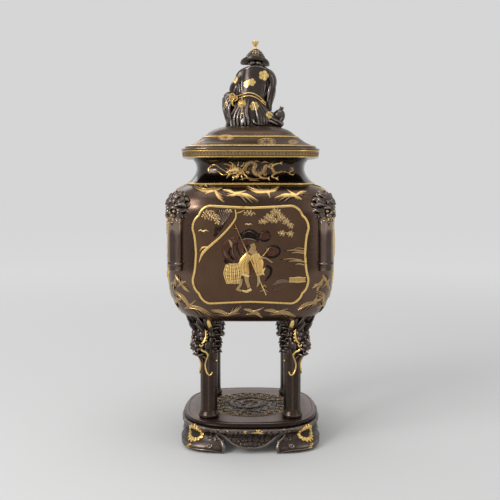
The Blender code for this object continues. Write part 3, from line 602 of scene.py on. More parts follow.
scrolls = []
for k in range(62):
    # small cloud scrolls in three rows, larger below than above
    row = k % 3
    place = -58.0 + 1.9 * k + 0.9 * math.sin(5.0 * k)
    level = (20.0, 25.8, 30.9)[row] + 0.6 * math.cos(2.3 * k)
    size = (2.9, 2.5, 2.1)[row] + 0.4 * math.sin(3.7 * k)
    spiral = curl(place, level, size, 1.3, 1.7 * k, swing(k))
    scrolls.append((spiral, (0.75, 0.45), 0.55))
for k in range(7):
    spiral = curl(-18.0 + 6.0 * k, 14.2 - 0.5 * abs(k - 3), 2.5, 1.2, 2.1 * k, swing(k))
    scrolls.append((spiral, (0.75, 0.45), 0.45))
for hand in (1.0, -1.0):
    for pearl in range(10):
        spot = (hand * (40.0 + 2.6 * pearl), 34.0)
        scrolls.append(([spot, spot], (1.15, 1.15), 0.9))
    toe = smooth_line([(40.0, 1.6), (50.0, 4.4), (60.0, 5.4), (72.0, 5.0), (84.5, 4.8)], 90)
    scrolls.append((toe * (hand, 1.0), (0.9, 0.7), 0.8))
    spiral = curl(0.0, 0.0, 3.4, 1.4, 2.8, 1.0) * (hand, 1.0) + (hand * 56.0, 11.6)
    scrolls.append((spiral, (0.9, 0.5), 0.7))
    rim = smooth_line([*ARCH[1:], (-3.0, 8.4)], 150)
    inward = np.stack([np.gradient(rim[:, 1]), -np.gradient(rim[:, 0])], axis=-1)
    inward /= np.linalg.norm(inward, axis=1, keepdims=True)
    scrolls.append(((rim + 1.3 * inward) * (hand, 1.0), (1.0, 1.0), 0.7))
relief = line_relief(along, rise, scrolls) * carved_rows
roe = np.sin(3.9 * along) * np.sin(3.9 * rise)
relief += 0.16 * roe * carved_rows * (relief < 0.05) * (rise > 9.5)
stand_mesh = surface("stand", [closed(raised(skin, relief))])

half_arch = smooth_line(ARCH, 70)
arch_line = np.concatenate([half_arch, half_arch[::-1] * (-1.0, 1.0)])
count = len(arch_line)
cutters = []
ring = np.arange(count)
beside = np.roll(ring, -1)
walls = np.stack([ring, beside, beside + count, ring + count], axis=-1)
reach = 1.2 * STAND_HALF
bar = closed(np.stack([np.insert(arch_line, 1, end, axis=1) for end in (reach, -reach)]))
for quarter in range(2):
    bar_places = turned([bar], quarter)[0][0].reshape(-1, 3)
    cutters.append(mesh_from("arch", bar_places, [walls, ring[None, ::-1], ring[None] + count]))
stand_mesh = tone(cut(stand_mesh, cutters), 14)
stand_bronze = bronze(
    "stand_bronze", (0.012, 0.008, 0.006), (0.056, 0.042, 0.035), (0.22, 0.17, 0.14), 0.34, 0.9, 0.05
)
level = stand_bronze.level()    # the plate's edge ends at 36.4 mm and its flat begins at 41.9 mm
carved = stand_bronze.painted("Base Color")
plate_tone = stand_bronze.blend(
    stand_bronze.noise(30.0).between(0.35, 0.7), (0.165, 0.110, 0.092), (0.125, 0.083, 0.068)
)
# between these heights the plate's edge is made dark: painted shade under the plate's top, and dark patina as
# well
edge_shade_and_patina = stand_bronze.blend(level.between(0.0358, 0.0364), carved, (0.030, 0.019, 0.014))
stand_bronze.paint(Base_Color=stand_bronze.blend(level.between(0.0414, 0.0419), edge_shade_and_patina, plate_tone))
piece("stand", stand_mesh, stand_bronze, ("base",))

RING_OUT, RING_IN, DISC_OUT = 60.4, 39.5, 62.2


def disc_curl(reach, angle, size, turns, start, hand):
    """A spiral whose middle lies on the disc at a reach and an angle."""
    return curl(reach * math.cos(angle), reach * math.sin(angle), size, turns, start, hand)


radius = np.concatenate([[0.4], steps(1.0, 61.6, 120), [DISC_OUT, DISC_OUT]])[:, None]
spin = around(420)
disc_x, disc_y = radius * np.cos(spin), radius * np.sin(spin)
lines = []
for k, angle in enumerate(around(26)):
    # the outer border
    spiral = disc_curl(55.5 if k % 2 else 53.5, angle, 4.6, 1.4, angle + 2.6, 1.0 if k % 3 else -1.0)
    lines.append((spiral, (1.3, 0.7), 1.3))
for k in range(44):
    # smaller scrolls fill the field round the beast
    spiral = disc_curl(37.0 * math.sqrt((k + 0.5) / 44.0), 2.4 * k, 3.2, 1.2, 1.3 * k, swing(k))
    lines.append((spiral, (0.95, 0.5), 0.8))
for k in range(18):
    # the inner border
    angle = 2.0 * math.pi * (k + 0.4) / 18
    lines.append((disc_curl(45.0, angle, 4.0, 1.2, angle + 0.5, -swing(k)), (1.2, 0.6), 1.1))
clouds = line_relief(disc_x, disc_y, lines)
s = steps(0.0, 1.0, 300)
angle = 0.9 + 2.0 * math.pi * 1.35 * s
reach = 33.0 - 22.0 * s + 3.5 * np.sin(9.0 * s)
coil = np.stack([reach * np.cos(angle), reach * np.sin(angle)], axis=-1)
beast = line_relief(disc_x, disc_y, [(coil[:180], (2.0, 6.0), 2.1), (coil[179:], (6.0, 3.2), 2.1)])
for start, bend, end in (
    ((27, 21), (36, 18), (39, 24)), ((-30, 8), (-38, 14), (-33, 20)), ((-8, -30), (-14, -38), (-6, -40)),
    ((4, 8), (14, 13), (19, 9)), ((-10, -2), (-16, -10), (-12, -16))
):
    limb_line = smooth_line([start, bend, end], 40)
    beast = np.maximum(beast, line_relief(disc_x, disc_y, [(limb_line, (2.6, 1.0), 1.8)]))
scales = 0.22 * np.sin(1.9 * disc_x + 1.1 * disc_y) * np.sin(1.9 * disc_y - 1.1 * disc_x) * (beast > 0.6)
edge_ring = 1.5 * np.exp(-((radius - RING_OUT) / 0.9) ** 2) * (0.75 + 0.25 * np.cos(90.0 * spin))
inner_ring = 0.9 * np.exp(-((radius - RING_IN) / 0.7) ** 2)
field = np.maximum(np.maximum(clouds, beast + scales), np.maximum(edge_ring, inner_ring)) + 0.15
field[-2] = -0.1
field[-1] = -1.0
gilt = np.clip(np.maximum(clouds, np.maximum(edge_ring, 0.8 * inner_ring)) / 1.2, 0.0, 1.0)
disc = np.stack([disc_x, disc_y, STAND_TOP + field, gilt], axis=-1)[::-1]
disc_finish = bronze(
    "medallion_bronze", (0.010, 0.007, 0.006), (0.060, 0.044, 0.036), (0.30, 0.21, 0.14), 0.34, 0.9, 0.05
)
tinted = disc_finish.attribute("gilt") * disc_finish.noise(260.0, 3.0).between(0.34, 0.58)
disc_finish.paint(Base_Color=disc_finish.blend(
    tinted.between(0.25, 0.8), disc_finish.painted("Base Color"), (0.42, 0.29, 0.12)))
finished("medallion", [closed(disc)], 10, disc_finish, attributes=("gilt",))


def corner_pad(spine, widths, rise, count):
    """Points of a gold pad on a corner of the stand, spread as the foot is."""
    return spread(stand_wall.corner(*pad(spine, widths, rise, count)))


WREATH_LEVEL = 24.0
stand_gilt = []
for angle in around(16):
    out = np.array([math.cos(angle + 0.3), math.sin(angle + 0.3)])
    middle = np.array([15.2 * math.cos(angle), WREATH_LEVEL + 8.6 * math.sin(angle)])
    petal = corner_pad([middle - 2.6 * out, middle, middle + 2.8 * out], (1.7, 2.6, 1.3), 1.9, 10)
    stand_gilt.append(closed(petal))
wreath_turn = around(42)
wreath = np.stack([14.4 * np.cos(wreath_turn), WREATH_LEVEL + 8.0 * np.sin(wreath_turn)], axis=-1)
stand_gilt.append(closed(corner_pad(wreath, (2.2, 2.2), 1.2, 8)[:-1]))
for x, z, size in ((1.0, 9.8, 2.6), (-2.0, 8.0, 2.2), (-4.8, 6.0, 2.6), (-1.0, 5.4, 1.9)):
    stand_gilt.append(closed(corner_pad(
        [(x - size, z), (x, z), (x + size, z)], (0.6, 0.7 * size, 0.6), 1.3, 8
    )))
for leaf_line, widths in (
    ([(-10.5, 32.2), (-7.5, 32.8), (-4.8, 32.4)], (0.4, 1.7, 0.4)),
    ([(-9.0, 30.3), (-7.0, 30.6), (-5.4, 30.2)], (0.3, 0.9, 0.3)),
    ([(0.5, 30.6), (5.5, 31.2), (10.0, 31.4)], (0.3, 1.1, 1.0)),
    ([(9.5, 31.0), (12.0, 34.2), (13.6, 35.0)], (1.1, 1.0, 0.2)),
    ([(9.5, 31.2), (9.0, 34.0), (8.0, 35.0)], (1.1, 0.9, 0.2)),
    ([(10.0, 31.0), (14.5, 30.6), (19.0, 29.6)], (1.0, 1.4, 0.3)),
    ([(11.0, 31.4), (15.5, 32.6), (18.0, 33.6)], (0.9, 1.0, 0.2)),
):
    stand_gilt.append(closed(stand_wall.front(*pad(smooth_line(leaf_line, 10), widths, 1.0, 8))))
finished("stand_gold", all_sides(stand_gilt), 4, gold("stand_gold"))


# The legs: four bronze castings. Each has a polished, flared foot ring, a plain shaft and a dragon's
# head that carries a corner of the vessel; brows, ears, fangs and the long whiskers are gilt.
LEG_REACH = 61.0 * math.sqrt(2.0)      # from the burner's axis out to the leg's
HEAD_LEVEL = 160.0


def tube(path, radii, count=14, grooves=0, depth=0.0, twist=0.0, flat=1.0, rows=None):
    """A closed tube through a few places: path(s) + r (cos(a) side + flat sin(a) lift).

    r is the radius at s times 1 + depth cos(grooves a + twist s), which gives strands or flutes.
    """
    rows = rows or 6 * len(path)
    line = smooth_line(path, rows)
    share = steps(0.0, 1.0, rows)
    wide = np.maximum(smooth_line([(value, 0.0) for value in radii], rows)[:, 0], 0.05)
    ahead = np.gradient(line, axis=0)
    ahead /= np.linalg.norm(ahead, axis=1, keepdims=True)
    side = np.empty_like(ahead)
    first = np.cross(ahead[0], (0.13, 0.21, 0.97) if abs(ahead[0, 2]) < 0.9 else (0.21, 0.97, 0.13))
    for row, way in enumerate(ahead):
        first = first - way * first.dot(way)
        first /= np.linalg.norm(first)
        side[row] = first
    lift = np.cross(ahead, side)
    turn = around(count)
    r = wide[:, None] * (1.0 + depth * np.cos(grooves * turn + twist * share[:, None]))
    across, up = r * np.cos(turn), flat * r * np.sin(turn)
    return closed(line[:, None] + across[..., None] * side[:, None] + up[..., None] * lift[:, None])


def egg(centre, radii, lean=(0.0, 0.0, 0.0), rows=14, count=20):
    """A closed egg: centre + R (a cos(u) cos(v), b cos(u) sin(v), c sin(u)), R turned by lean in degrees."""
    u = np.radians(np.linspace(-84.0, 84.0, rows))[:, None]
    v = around(count)
    ball = grid(np.cos(u) * np.cos(v), np.cos(u) * np.sin(v), np.sin(u))
    spin = np.array(Euler(np.radians(lean)).to_matrix()).T
    return closed((ball * radii) @ spin + centre)


def mirrored(grids):
    """The same grids on the other side of the plane y = 0, with their faces turned outward again."""
    return [(points[:, ::-1] * (1.0, -1.0, 1.0), wrap, ends) for points, wrap, ends in grids]


def melted(name, grids, grain, rounds=2):
    """One closed skin round overlapping masses, a face for each grain mm, eased by rounds of means."""
    lump = bpy.data.objects.new("lump", surface("lump", grids))
    bpy.context.scene.collection.objects.link(lump)
    remesh = lump.modifiers.new("melt", "REMESH")
    remesh.mode = "VOXEL"
    remesh.voxel_size = grain * MM
    ease = lump.modifiers.new("ease", "SMOOTH")
    ease.factor = 0.5
    ease.iterations = rounds
    mesh = bpy.data.meshes.new_from_object(lump.evaluated_get(bpy.context.evaluated_depsgraph_get()))
    bpy.data.objects.remove(lump, do_unlink=True)
    mesh.name = name
    mesh.shade_smooth()
    return mesh


def four_corners(name, mesh, finish, node=None):
    """Copies of a pattern that faces +X, one on each of the burner's corners."""
    for label, angle in (("front_left", -135), ("front_right", -45), ("back_left", 135), ("back_right", 45)):
        copy = mesh.copy()
        copy.transform(Matrix.Rotation(math.radians(angle), 4, "Z"))
        piece(f"{name}_{label}", copy, finish, (f"{node}_{label}",) if node else ())


def head_place(out, across, up):
    """A place from the leg's axis outward, across and up from the head's middle."""
    return (LEG_REACH + min(out, 0.8 * out + 1.0), across, HEAD_LEVEL + up)


def head_egg(out, across, up, long, wide, tall, lean=(0.0, 0.0, 0.0)):
    return egg(head_place(out, across, up), (long, wide, tall), lean)


def head_tube(places, radii, **more):
    return tube([head_place(*place) for place in places], radii, **more)


one_side = [
    head_egg(21, 7.5, 9, 8, 5.5, 5.5, (0, 20, 0)), head_egg(25.5, 9.5, 1.5, 3.8, 3.2, 3.6),
    head_egg(34.0, 4.6, -8.2, 3.4, 3.2, 3.0), head_egg(25, 7.2, -12.5, 9.0, 3.0, 3.2, (0, 10, 0)),
    head_egg(12, 12.5, -9, 9, 5, 8), head_egg(20, 6.2, -21.5, 9.5, 2.6, 2.4, (0, 8, 0)),
    head_egg(16, 11.5, -17, 5, 3.0, 5),
    head_tube(
        [(12, 6, 10), (24, 8.0, 14), (32, 8.6, 20), (38, 8.4, 27)], (4.2, 3.6, 2.8, 0.7), grooves=5,
        depth=0.14
    ),
    head_tube([(8, 11, 6), (13, 15, 14), (18, 17.5, 23), (21, 17.5, 30)], (4.5, 4.5, 3.6, 0.8), flat=0.6),
    head_tube([(31, 5.0, -14), (31.5, 5.2, -19.5)], (1.7, 0.4), count=8),
    head_tube([(24, 6.8, -15), (24, 7.0, -18.5)], (1.4, 0.4), count=8),
    head_tube([(19, 7.6, -15.5), (19, 7.8, -18.5)], (1.4, 0.4), count=8),
    head_tube([(18, 3, -24), (12, 6, -30), (12.5, 7, -38)], (3.0, 2.4, 0.5), grooves=3, depth=0.2),
]
for lock in range(12):
    up = 27.0 - 4.3 * lock + 1.3 * math.sin(7.0 * lock)
    long = 9.6 + 3.6 * math.sin(2.9 * lock)
    root = np.array([5.0 - 1.5 * (lock % 3), 11.5 + 0.25 * max(up - 8.0, 0.0), up])
    bend = root + (-0.42 * long, 0.36 * long, 0.10 * long)
    tip = bend + (-0.50 * long, 0.10 * long, -0.45 * long + 3.0 * (lock % 2))
    hook = tip + (-0.5, 2.6, 1.8 - 4.4 * (lock % 2))
    one_side.append(head_tube(
        [root, bend, tip, hook], (3.4, 3.9, 2.3, 0.3), grooves=4, depth=0.18, twist=4.0, flat=0.7
    ))
for lock in range(11):
    up = 26.0 - 4.6 * lock + 1.4 * math.sin(5.0 * lock)
    root = np.array([-4.0, 9.0, up])
    bend = root + (-5.5, 4.0 - 0.5 * (lock % 3), 1.5)
    tip = bend + (-5.0, -0.5, -5.0 + 6.0 * (lock % 2))
    one_side.append(head_tube(
        [root, bend, tip], (4.2, 3.6, 0.4), grooves=4, depth=0.18, twist=-4.0, flat=0.7
    ))
for curl_place in (
    (11, 15.5, -1), (7, 16.5, 7), (12, 15.2, 8), (6, 16.5, -8), (11, 14.8, -14), (5, 15.0, -17)
):
    turn = steps(0.0, 3.4 * math.pi, 22)
    size = 3.6 * (1.0 - 0.75 * turn / turn[-1])
    ring = np.stack([size * np.cos(turn), steps(0.0, 0.9, 22), size * np.sin(turn)], axis=-1) + curl_place
    one_side.append(head_tube(ring, (0.6, 1.5, 1.3, 1.0), count=8, rows=44))
for root, bend, tip in (
    ((22, 5, 24), (33, 6, 31), (45, 5, 40)), ((24, 9, 20), (33, 11, 27), (41, 12, 36)),
    ((18, 13, 20), (25, 16, 26), (33, 18, 34)), ((14, 15, 22), (18, 19, 28), (24, 22, 35)),
    ((8, 17, 22), (9, 21, 28), (13, 24, 34)),
):
    one_side.append(head_tube([root, bend, tip], (5.0, 3.8, 0.5), grooves=4, depth=0.16, flat=0.7))
middle = [
    head_tube([(-2, 0, 4), (3, 0, 18), (9, 0, 31)], (13.0, 17.0, 22.0)), head_egg(9, 0, 1, 16, 13.5, 17),
    head_egg(24, 0, -5.5, 12, 7.5, 7.0, (0, 12, 0)), head_egg(32.5, 0, -10, 4.8, 6.5, 4.6),
    head_egg(20, 0, -21.5, 10.5, 6.0, 3.2, (0, 8, 0)), head_egg(28.5, 0, -20.5, 3.6, 3.6, 3.0),
    head_egg(17, 0, -16, 9, 5.5, 5), head_egg(-2, 0, -6, 12, 12, 22), head_egg(20, 0, 12, 5, 4, 4),
    head_egg(27, 0, 3, 4, 2.6, 3.2),
    head_tube([(22, 0, -23), (16, 0, -30), (13.5, 0, -41)], (3.2, 3.0, 0.6), grooves=4, depth=0.2),
]
for rung in range(5):
    middle.append(head_egg(14.5 + 4.2 * rung, 0, 16.5 - 4.3 * rung, 1.5, 2.4, 2.0))
head_mesh = tone(melted("leg_head", middle + one_side + mirrored(one_side), 0.66), 8)
leg_bronze = bronze(
    "leg_bronze", (0.009, 0.006, 0.005), (0.046, 0.033, 0.027), (0.22, 0.165, 0.13), 0.30, 0.92, 0.1
)
four_corners("leg_head", head_mesh, leg_bronze)

shaft_side = smooth_line([
    (42.4, 13.2), (43.0, 14.4), (44.6, 15.2), (46.6, 15.3), (48.4, 14.7), (50.0, 13.7), (52.6, 12.7),
    (58.0, 12.6), (90.0, 12.5), (125.0, 12.7), (156.0, 12.9),
], 90)
turn = around(96)
shaft_z, shaft_radius = shaft_side[:, :1], shaft_side[:, 1:]
fluted = shaft_radius * (1.0 - 0.022 * np.abs(np.sin(4.0 * turn)) * np.clip((shaft_z - 50.0) / 8.0, 0.0, 1.0))
shaft = grid(LEG_REACH + fluted * np.cos(turn), fluted * np.sin(turn), shaft_z)
shaft_mesh = tone(surface("leg_shaft", [closed(shaft)]), 8)
shaft_bronze = bronze(
    "shaft_bronze", (0.018, 0.012, 0.010), (0.050, 0.034, 0.026), (0.22, 0.165, 0.13), 0.27, 0.95, 0.05
)
four_corners("leg_shaft", shaft_mesh, shaft_bronze, "leg")

gilt = [
    head_tube(
        [
            (28, 7.0, -11), (26, 10.0, -15.5), (19, 12.5, -19), (14.6, 12.0, -25), (13.2, 5.5, -36),
            (12.6, 5.2, -44), (11.5, 8.0, -51), (8.5, 11.0, -53.5), (6.0, 12.6, -51.0), (6.0, 12.6, -48.5)
        ],
        (1.5, 1.6, 1.5, 1.4, 1.2, 1.3, 1.3, 1.3, 1.3, 1.4), count=10, rows=70
    ),
    head_tube(
        [(15, 16.5, 15), (19, 19.4, 20), (22.5, 20.4, 26), (23.5, 19.5, 33)], (1.2, 3.2, 3.0, 0.6), flat=0.6
    ),
    head_tube(
        [(29, 11.0, -4.5), (25.5, 12.6, -2.5), (22, 13.2, 3), (20.5, 12.5, 10), (21, 11.5, 15.5)],
        (1.2, 1.8, 2.2, 1.7, 0.4), flat=0.7
    ),
]
for out, up in ((18.8, 12.0), (18.0, 7.6), (18.4, 3.0), (20.0, -1.4)):
    gilt.append(head_egg(out, 13.4, up, 1.9, 1.4, 1.5, (0, 20, 0)))
gilt.append(head_tube(
    [(31.5, 8.6, -6.5), (29.5, 10.6, -8.6), (26.8, 11.8, -7.4), (27.2, 12.2, -4.8)], (1.4, 1.5, 1.3, 0.8)
))
gilt.append(head_egg(-2.0, 14.5, -33.0, 1.6, 1.6, 1.8))
gilt_mesh = tone(surface("leg_gilt", gilt + mirrored(gilt)), 4)
four_corners("leg_gilt", gilt_mesh, gold("leg_gold"))


# The vessel: one hollow bronze casting, a rounded square with a waisted neck and a banded mouth rim.
# Its ground is chocolate brown, lighter inside the panels; rings, wires and inlays are gold.
BODY_POWER = 4.0
BODY_HALF = 123.2
UNDERSIDE, SIDE_FOOT, SIDE_TOP = 187.0, 261.0, 345.0
ROUNDING = 38.0                # how far the rounded foot and shoulder draw in
NECK_FOOT, MOUTH = 385.0, 434.0
quarter_turn = steps(0.0, 0.5 * math.pi, 40)
body_side = [
    (SIDE_FOOT - (SIDE_FOOT - UNDERSIDE) * math.cos(t), BODY_HALF - ROUNDING * (1.0 - math.sin(t)))
    for t in quarter_turn
]
body_side += [(z, BODY_HALF) for z in np.linspace(SIDE_FOOT, SIDE_TOP, 40)[1:-1]]
body_side += [
    (SIDE_TOP + ROUNDING * math.sin(t), BODY_HALF - ROUNDING * (1.0 - math.cos(t)))
    for t in 0.92 * quarter_turn
]
body_wall = Wall(body_side, BODY_POWER)


def neck_half(z):
    """The neck's half width: 80.5 at the waist, and parabolas to both sides of it."""
    share = (np.asarray(z, float) - NECK_FOOT) / 34.5
    below, above = np.maximum(0.62 - share, 0.0) / 0.62, np.maximum(share - 0.62, 0.0) / 0.38
    return 80.5 + 12.5 * below**2 + 6.0 * above**2


neck_levels = np.linspace(NECK_FOOT, 419.5, 34)
neck_wall = Wall(list(zip(neck_levels, neck_half(neck_levels))), BODY_POWER)
rim_side = [
    (420.6, 97.0), (420.8, 99.2), (421.2, 99.9), (426.0, 100.6), (430.8, 101.3), (431.3, 101.6),
    (431.5, 102.4), (432.0, 102.9), (433.4, 102.9), (434.0, 102.3)
]
rim_wall = Wall([(421.2, 99.9), (430.8, 101.3)], BODY_POWER)
body_profile = [(UNDERSIDE, half) for half in (12.0, 40.0, 66.0)] + body_side
body_profile += [(381.9, 90.5), (382.2, 93.0), (382.8, 93.6), (384.2, 93.6), (384.9, 93.3)]
body_profile += list(zip(neck_wall.heights, neck_wall.halves)) + [(420.2, 87.6), (420.4, 92.0)]
body_profile += smooth_line(rim_side, 24).tolist()
body_profile += [
    (MOUTH, 98.0), (MOUTH, 80.0), (MOUTH, 77.0), (433.4, 76.5), (424.0, 76.5), (385.0, 76.5), (378.0, 88.0),
    (372.0, 103.0), (345.0, 119.0), (300.0, 119.2), (261.0, 119.2), (225.0, 113.0), (204.0, 100.0),
    (194.0, 76.0), (191.0, 60.0), (191.0, 20.0)
]

PANEL_CENTRE = 288.0


def arc(start, end, first, last, count=10):
    """Piece of an ellipse from start to end, which lie on it at the angles first and last in degrees."""
    turn = np.radians(np.linspace(first, last, count))
    share = np.stack([np.cos(turn) - np.cos(turn[0]), np.sin(turn) - np.sin(turn[0])], axis=-1)
    return start + share * np.subtract(end, start) / share[-1]


side_line = smooth_line([(75.9, 0.0), (77.6, 22.0), (80.7, 36.2)], 12)
corner = np.concatenate([
    arc((80.7, 36.2), (72.3, 55.4), 0.0, 70.0), arc((72.3, 55.4), (55.7, 70.0), 20.0, 90.0)[1:]
])
top_line = smooth_line([(55.7, 70.0), (28.0, 68.4), (0.0, 67.3)], 12)
quarter_frame = np.concatenate([side_line[:-1], corner[:-1], top_line])
half_frame = np.concatenate([quarter_frame[:-1], quarter_frame[::-1] * (-1.0, 1.0)])
FRAME_TOP = 0.932              # how far the frame's upper half goes for 1 of the lower half
FRAME_WIDE = 0.987
frame_line = even(np.concatenate([half_frame[:-1], -half_frame]), 420)[:-1]
frame_line *= (FRAME_WIDE, 1.0)
frame_line[:, 1] *= np.where(frame_line[:, 1] > 0.0, FRAME_TOP, 1.0)


def ring_pad(line, width, rise, count=10, sink=0.6):
    """A closed wire round a closed line: (across, up, lift) as in pad, with no ends and sin(a)^0.8."""
    ahead = np.roll(line, -1, axis=0) - np.roll(line, 1, axis=0)
    ahead /= np.linalg.norm(ahead, axis=1, keepdims=True)
    turn = around(count)
    out = 0.5 * width * np.cos(turn)
    lift = np.where(np.sin(turn) > 0.001, rise * np.abs(np.sin(turn)) ** 0.8, -sink)
    lift = np.broadcast_to(lift, (len(line), count))
    return line[:, :1] - out * ahead[:, 1:], line[:, 1:] + out * ahead[:, :1], lift


def looped(points):
    """A grid that goes round both ways: its first row is repeated as its last."""
    return (np.concatenate([points, points[:1]]), True, (False, False))


def square_ring(profile, power, count=480):
    """A closed moulding round a rounded square: its section's points are (z, half)."""
    return looped(square_skin(profile, power, count))


# the attribute panel is 1 on the flat of each side inside the frame's line, and 0 elsewhere
body_skin = square_skin(body_profile, BODY_POWER, 448)
beside = np.abs(body_skin[..., :2]).min(axis=-1)
above = body_skin[..., 2] - PANEL_CENTRE
above = np.where(above > 0.0, above / FRAME_TOP, -above)
facing = np.abs(body_skin[..., :2]).max(axis=-1) > 104.0
upright = quarter_frame[:23]   # the frame's side with the lower part of its corner
to_side = np.interp(above, upright[:, 1], upright[:, 0], right=0.0)
panel = (beside < np.maximum(to_side, 72.0)) & (above < 69.0) & (beside < 81.0) & facing
panel &= ~((beside > 72.3) & (above > 36.2) & (beside > to_side))
body_skin = np.concatenate([body_skin, panel[..., None]], axis=-1)
body_bronze = bronze(
    "body_bronze", (0.008, 0.005, 0.004), (0.042, 0.0235, 0.016), (0.15, 0.095, 0.068), 0.30, 0.95, 0.05
)
ground = body_bronze.painted("Base Color")
inside_frame = body_bronze.attribute("panel").between(0.3, 0.7)
cloudy = body_bronze.noise(22.0, 4.0, 0.6).between(0.35, 0.7)
panel_ground = body_bronze.blend(cloudy, (0.112, 0.063, 0.037), (0.088, 0.048, 0.029))
polished = body_bronze.level().between(0.384, 0.388) * 0.13    # the neck, from the foot ring up
rough = body_bronze.painted("Roughness")
body_bronze.paint(
    Base_Color=body_bronze.blend(inside_frame, ground, panel_ground), Roughness=rough - polished,
    Coat_Weight=0.08 + 4.0 * polished, Coat_Roughness=0.12
)
finished("vessel", [closed(body_skin)], 12, body_bronze, ("body",), ("panel",))

wires = []
for quarter, rise in ((0, 2.0), (1, 1.1), (2, 1.5), (3, 1.1)):
    across, up, lift = ring_pad(frame_line, 3.5, rise)
    wires += turned([looped(body_wall.front(across, PANEL_CENTRE + up, lift))], quarter)
wires.append(square_ring(
    [
        (381.4, 92.6), (381.7, 94.4), (382.6, 95.3), (383.9, 95.3), (384.9, 94.4), (385.2, 92.8),
        (383.2, 91.5)
    ],
    BODY_POWER
))
for level in (421.4, 430.2):
    half = float(rim_wall.half(level))
    section = [
        (level - 0.8, half - 0.3), (level - 0.5, half + 0.5), (level + 0.5, half + 0.5),
        (level + 0.8, half - 0.3)
    ]
    wires.append(square_ring(section, BODY_POWER))
body_gold = gold("body_gold")
finished("vessel_wires", wires, 3, body_gold)

FRET_UNITS, FRET_PITCH, FRET_FOOT = 148, 5.0, 423.0
FRET_BAR = 0.35                # half a bar's width
RIM_STEPS = 1440               # places round the rim between which the fret is set out
fret_curve = np.stack(plan(BODY_POWER, RIM_STEPS), axis=-1)
fret_curve = np.concatenate([fret_curve, fret_curve[:1]])
key = np.array([(0.0, 0.0), (0.0, 5.6), (3.6, 5.6), (3.6, 1.6), (1.7, 1.6), (1.7, 3.8)])
starts, ends = key[:-1], key[1:]
ahead = (ends - starts) / np.linalg.norm(ends - starts, axis=1, keepdims=True)
side = np.stack([-ahead[:, 1], ahead[:, 0]], axis=-1)
long, wide = FRET_BAR * ahead, FRET_BAR * side
bar_places = np.stack(
    [starts - long - wide, ends + long - wide, ends + long + wide, starts - long + wide], axis=1
)
# each bar is a block of eight corners: four low ones, then the same four standing proud
block = (FRET_UNITS, len(starts), 2, 4)
run = bar_places[None, ..., 0] / FRET_PITCH + np.arange(FRET_UNITS)[:, None, None]
run = np.broadcast_to(run[:, :, None], block).ravel()
level = np.broadcast_to(bar_places[None, :, None, :, 1], block).ravel() + FRET_FOOT
proud = np.broadcast_to(np.array([-0.3, 0.4])[:, None], block).ravel()
run = run / FRET_UNITS * RIM_STEPS % RIM_STEPS
spot = [np.interp(run, np.arange(RIM_STEPS + 1.0), values) for values in fret_curve.T]
half = rim_wall.half(level)
fret_corners = rim_wall.lifted(spot[0] * half, spot[1] * half, level, proud)
box = np.array([(0, 3, 2, 1), (4, 5, 6, 7), (0, 1, 5, 4), (1, 2, 6, 5), (2, 3, 7, 6), (3, 0, 4, 7)])
fret_faces = (np.arange(0, len(fret_corners), 8)[:, None, None] + box).reshape(-1, 4)
rim_gold = gold("rim_gold", (0.48, 0.32, 0.13), 0.34)
piece("rim_fret", tone(mesh_from("rim_fret", fret_corners, [fret_faces]), 1), rim_gold)

UMBER, DARK, COPPER, BARK, TAN, GOLD, PALE_GOLD = (np.arange(7) + 0.5) / 7


def crane(left, body, right, head):
    """A flying crane as strokes: two wings of three feathers, neck and bill, body and a fanned tail."""
    left, body, right, head = (np.array(place, float) for place in (left, body, right, head))
    way = head - body
    strokes = [
        (
            [body - 0.3 * way, body, body + 0.35 * way, body + 0.7 * way, head], (1.6, 3.4, 1.7, 0.9, 0.4),
            1.1, GOLD
        ),
        ([body, body - 0.5 * way + (2.0, 0.0)], (2.6, 0.8), 0.9, GOLD),
        ([body, body - 0.5 * way - (3.0, 0.0)], (2.6, 0.8), 0.9, TAN),
    ]
    for tip in (left, right):
        wing = tip - body
        trail = np.array([-wing[1], wing[0]])
        trail *= -1.0 if trail.dot(way) > 0 else 1.0
        for share, drop, wide, tint in ((1.0, 0.0, 2.2, GOLD), (0.80, 0.13, 1.7, TAN), (0.56, 0.2, 1.6, TAN)):
            bend = body + 0.5 * share * wing - 0.10 * trail + 0.6 * drop * trail
            line = [body, bend, body + share * wing + drop * trail]
            strokes.append((line, (2.2, wide, 0.2), 1.0, tint))
            strokes.append((
                [place + 0.07 * trail for place in line], (0.2, 0.4, 0.15), 1.15,
                UMBER if share < 0.9 else PALE_GOLD
            ))
    return strokes


def bird(x, up, size):
    """A small far bird: two bent wings and a body."""
    strokes = [([(x - 0.3 * size, up), (x + 0.3 * size, up - 0.1 * size)], (0.7, 0.5), 0.6, PALE_GOLD)]
    for hand in (-1.0, 1.0):
        line = [(x, up), (x + 0.5 * hand * size, up + 0.22 * size), (x + hand * size, up - 0.05 * size)]
        strokes.append((line, (0.9, 1.0, 0.2), 0.7, PALE_GOLD))
    return strokes


def with_shadow_edges(strokes, margin=0.9):
    """The strokes with a low dark edge round each, which is a painted shadow round the raised inlay."""
    edges = [(places, [width + margin for width in widths], 0.30, UMBER) for places, widths, _, _ in strokes]
    return edges + strokes


def oval(x, up, wide, tall, rise, tint):
    """An oval boss: its half width at the share s of its length is tall (1 - (2s - 1)^2)^(1/2)."""
    places = [(x + wide * share, up + 0.25 * tall * share) for share in (-1.0, -0.5, 0.0, 0.5, 1.0)]
    widths = [tall * math.sqrt(max(1.0 - share**2, 0.05)) for share in steps(-1.0, 1.0, 12)]
    return (places, widths, rise, tint)


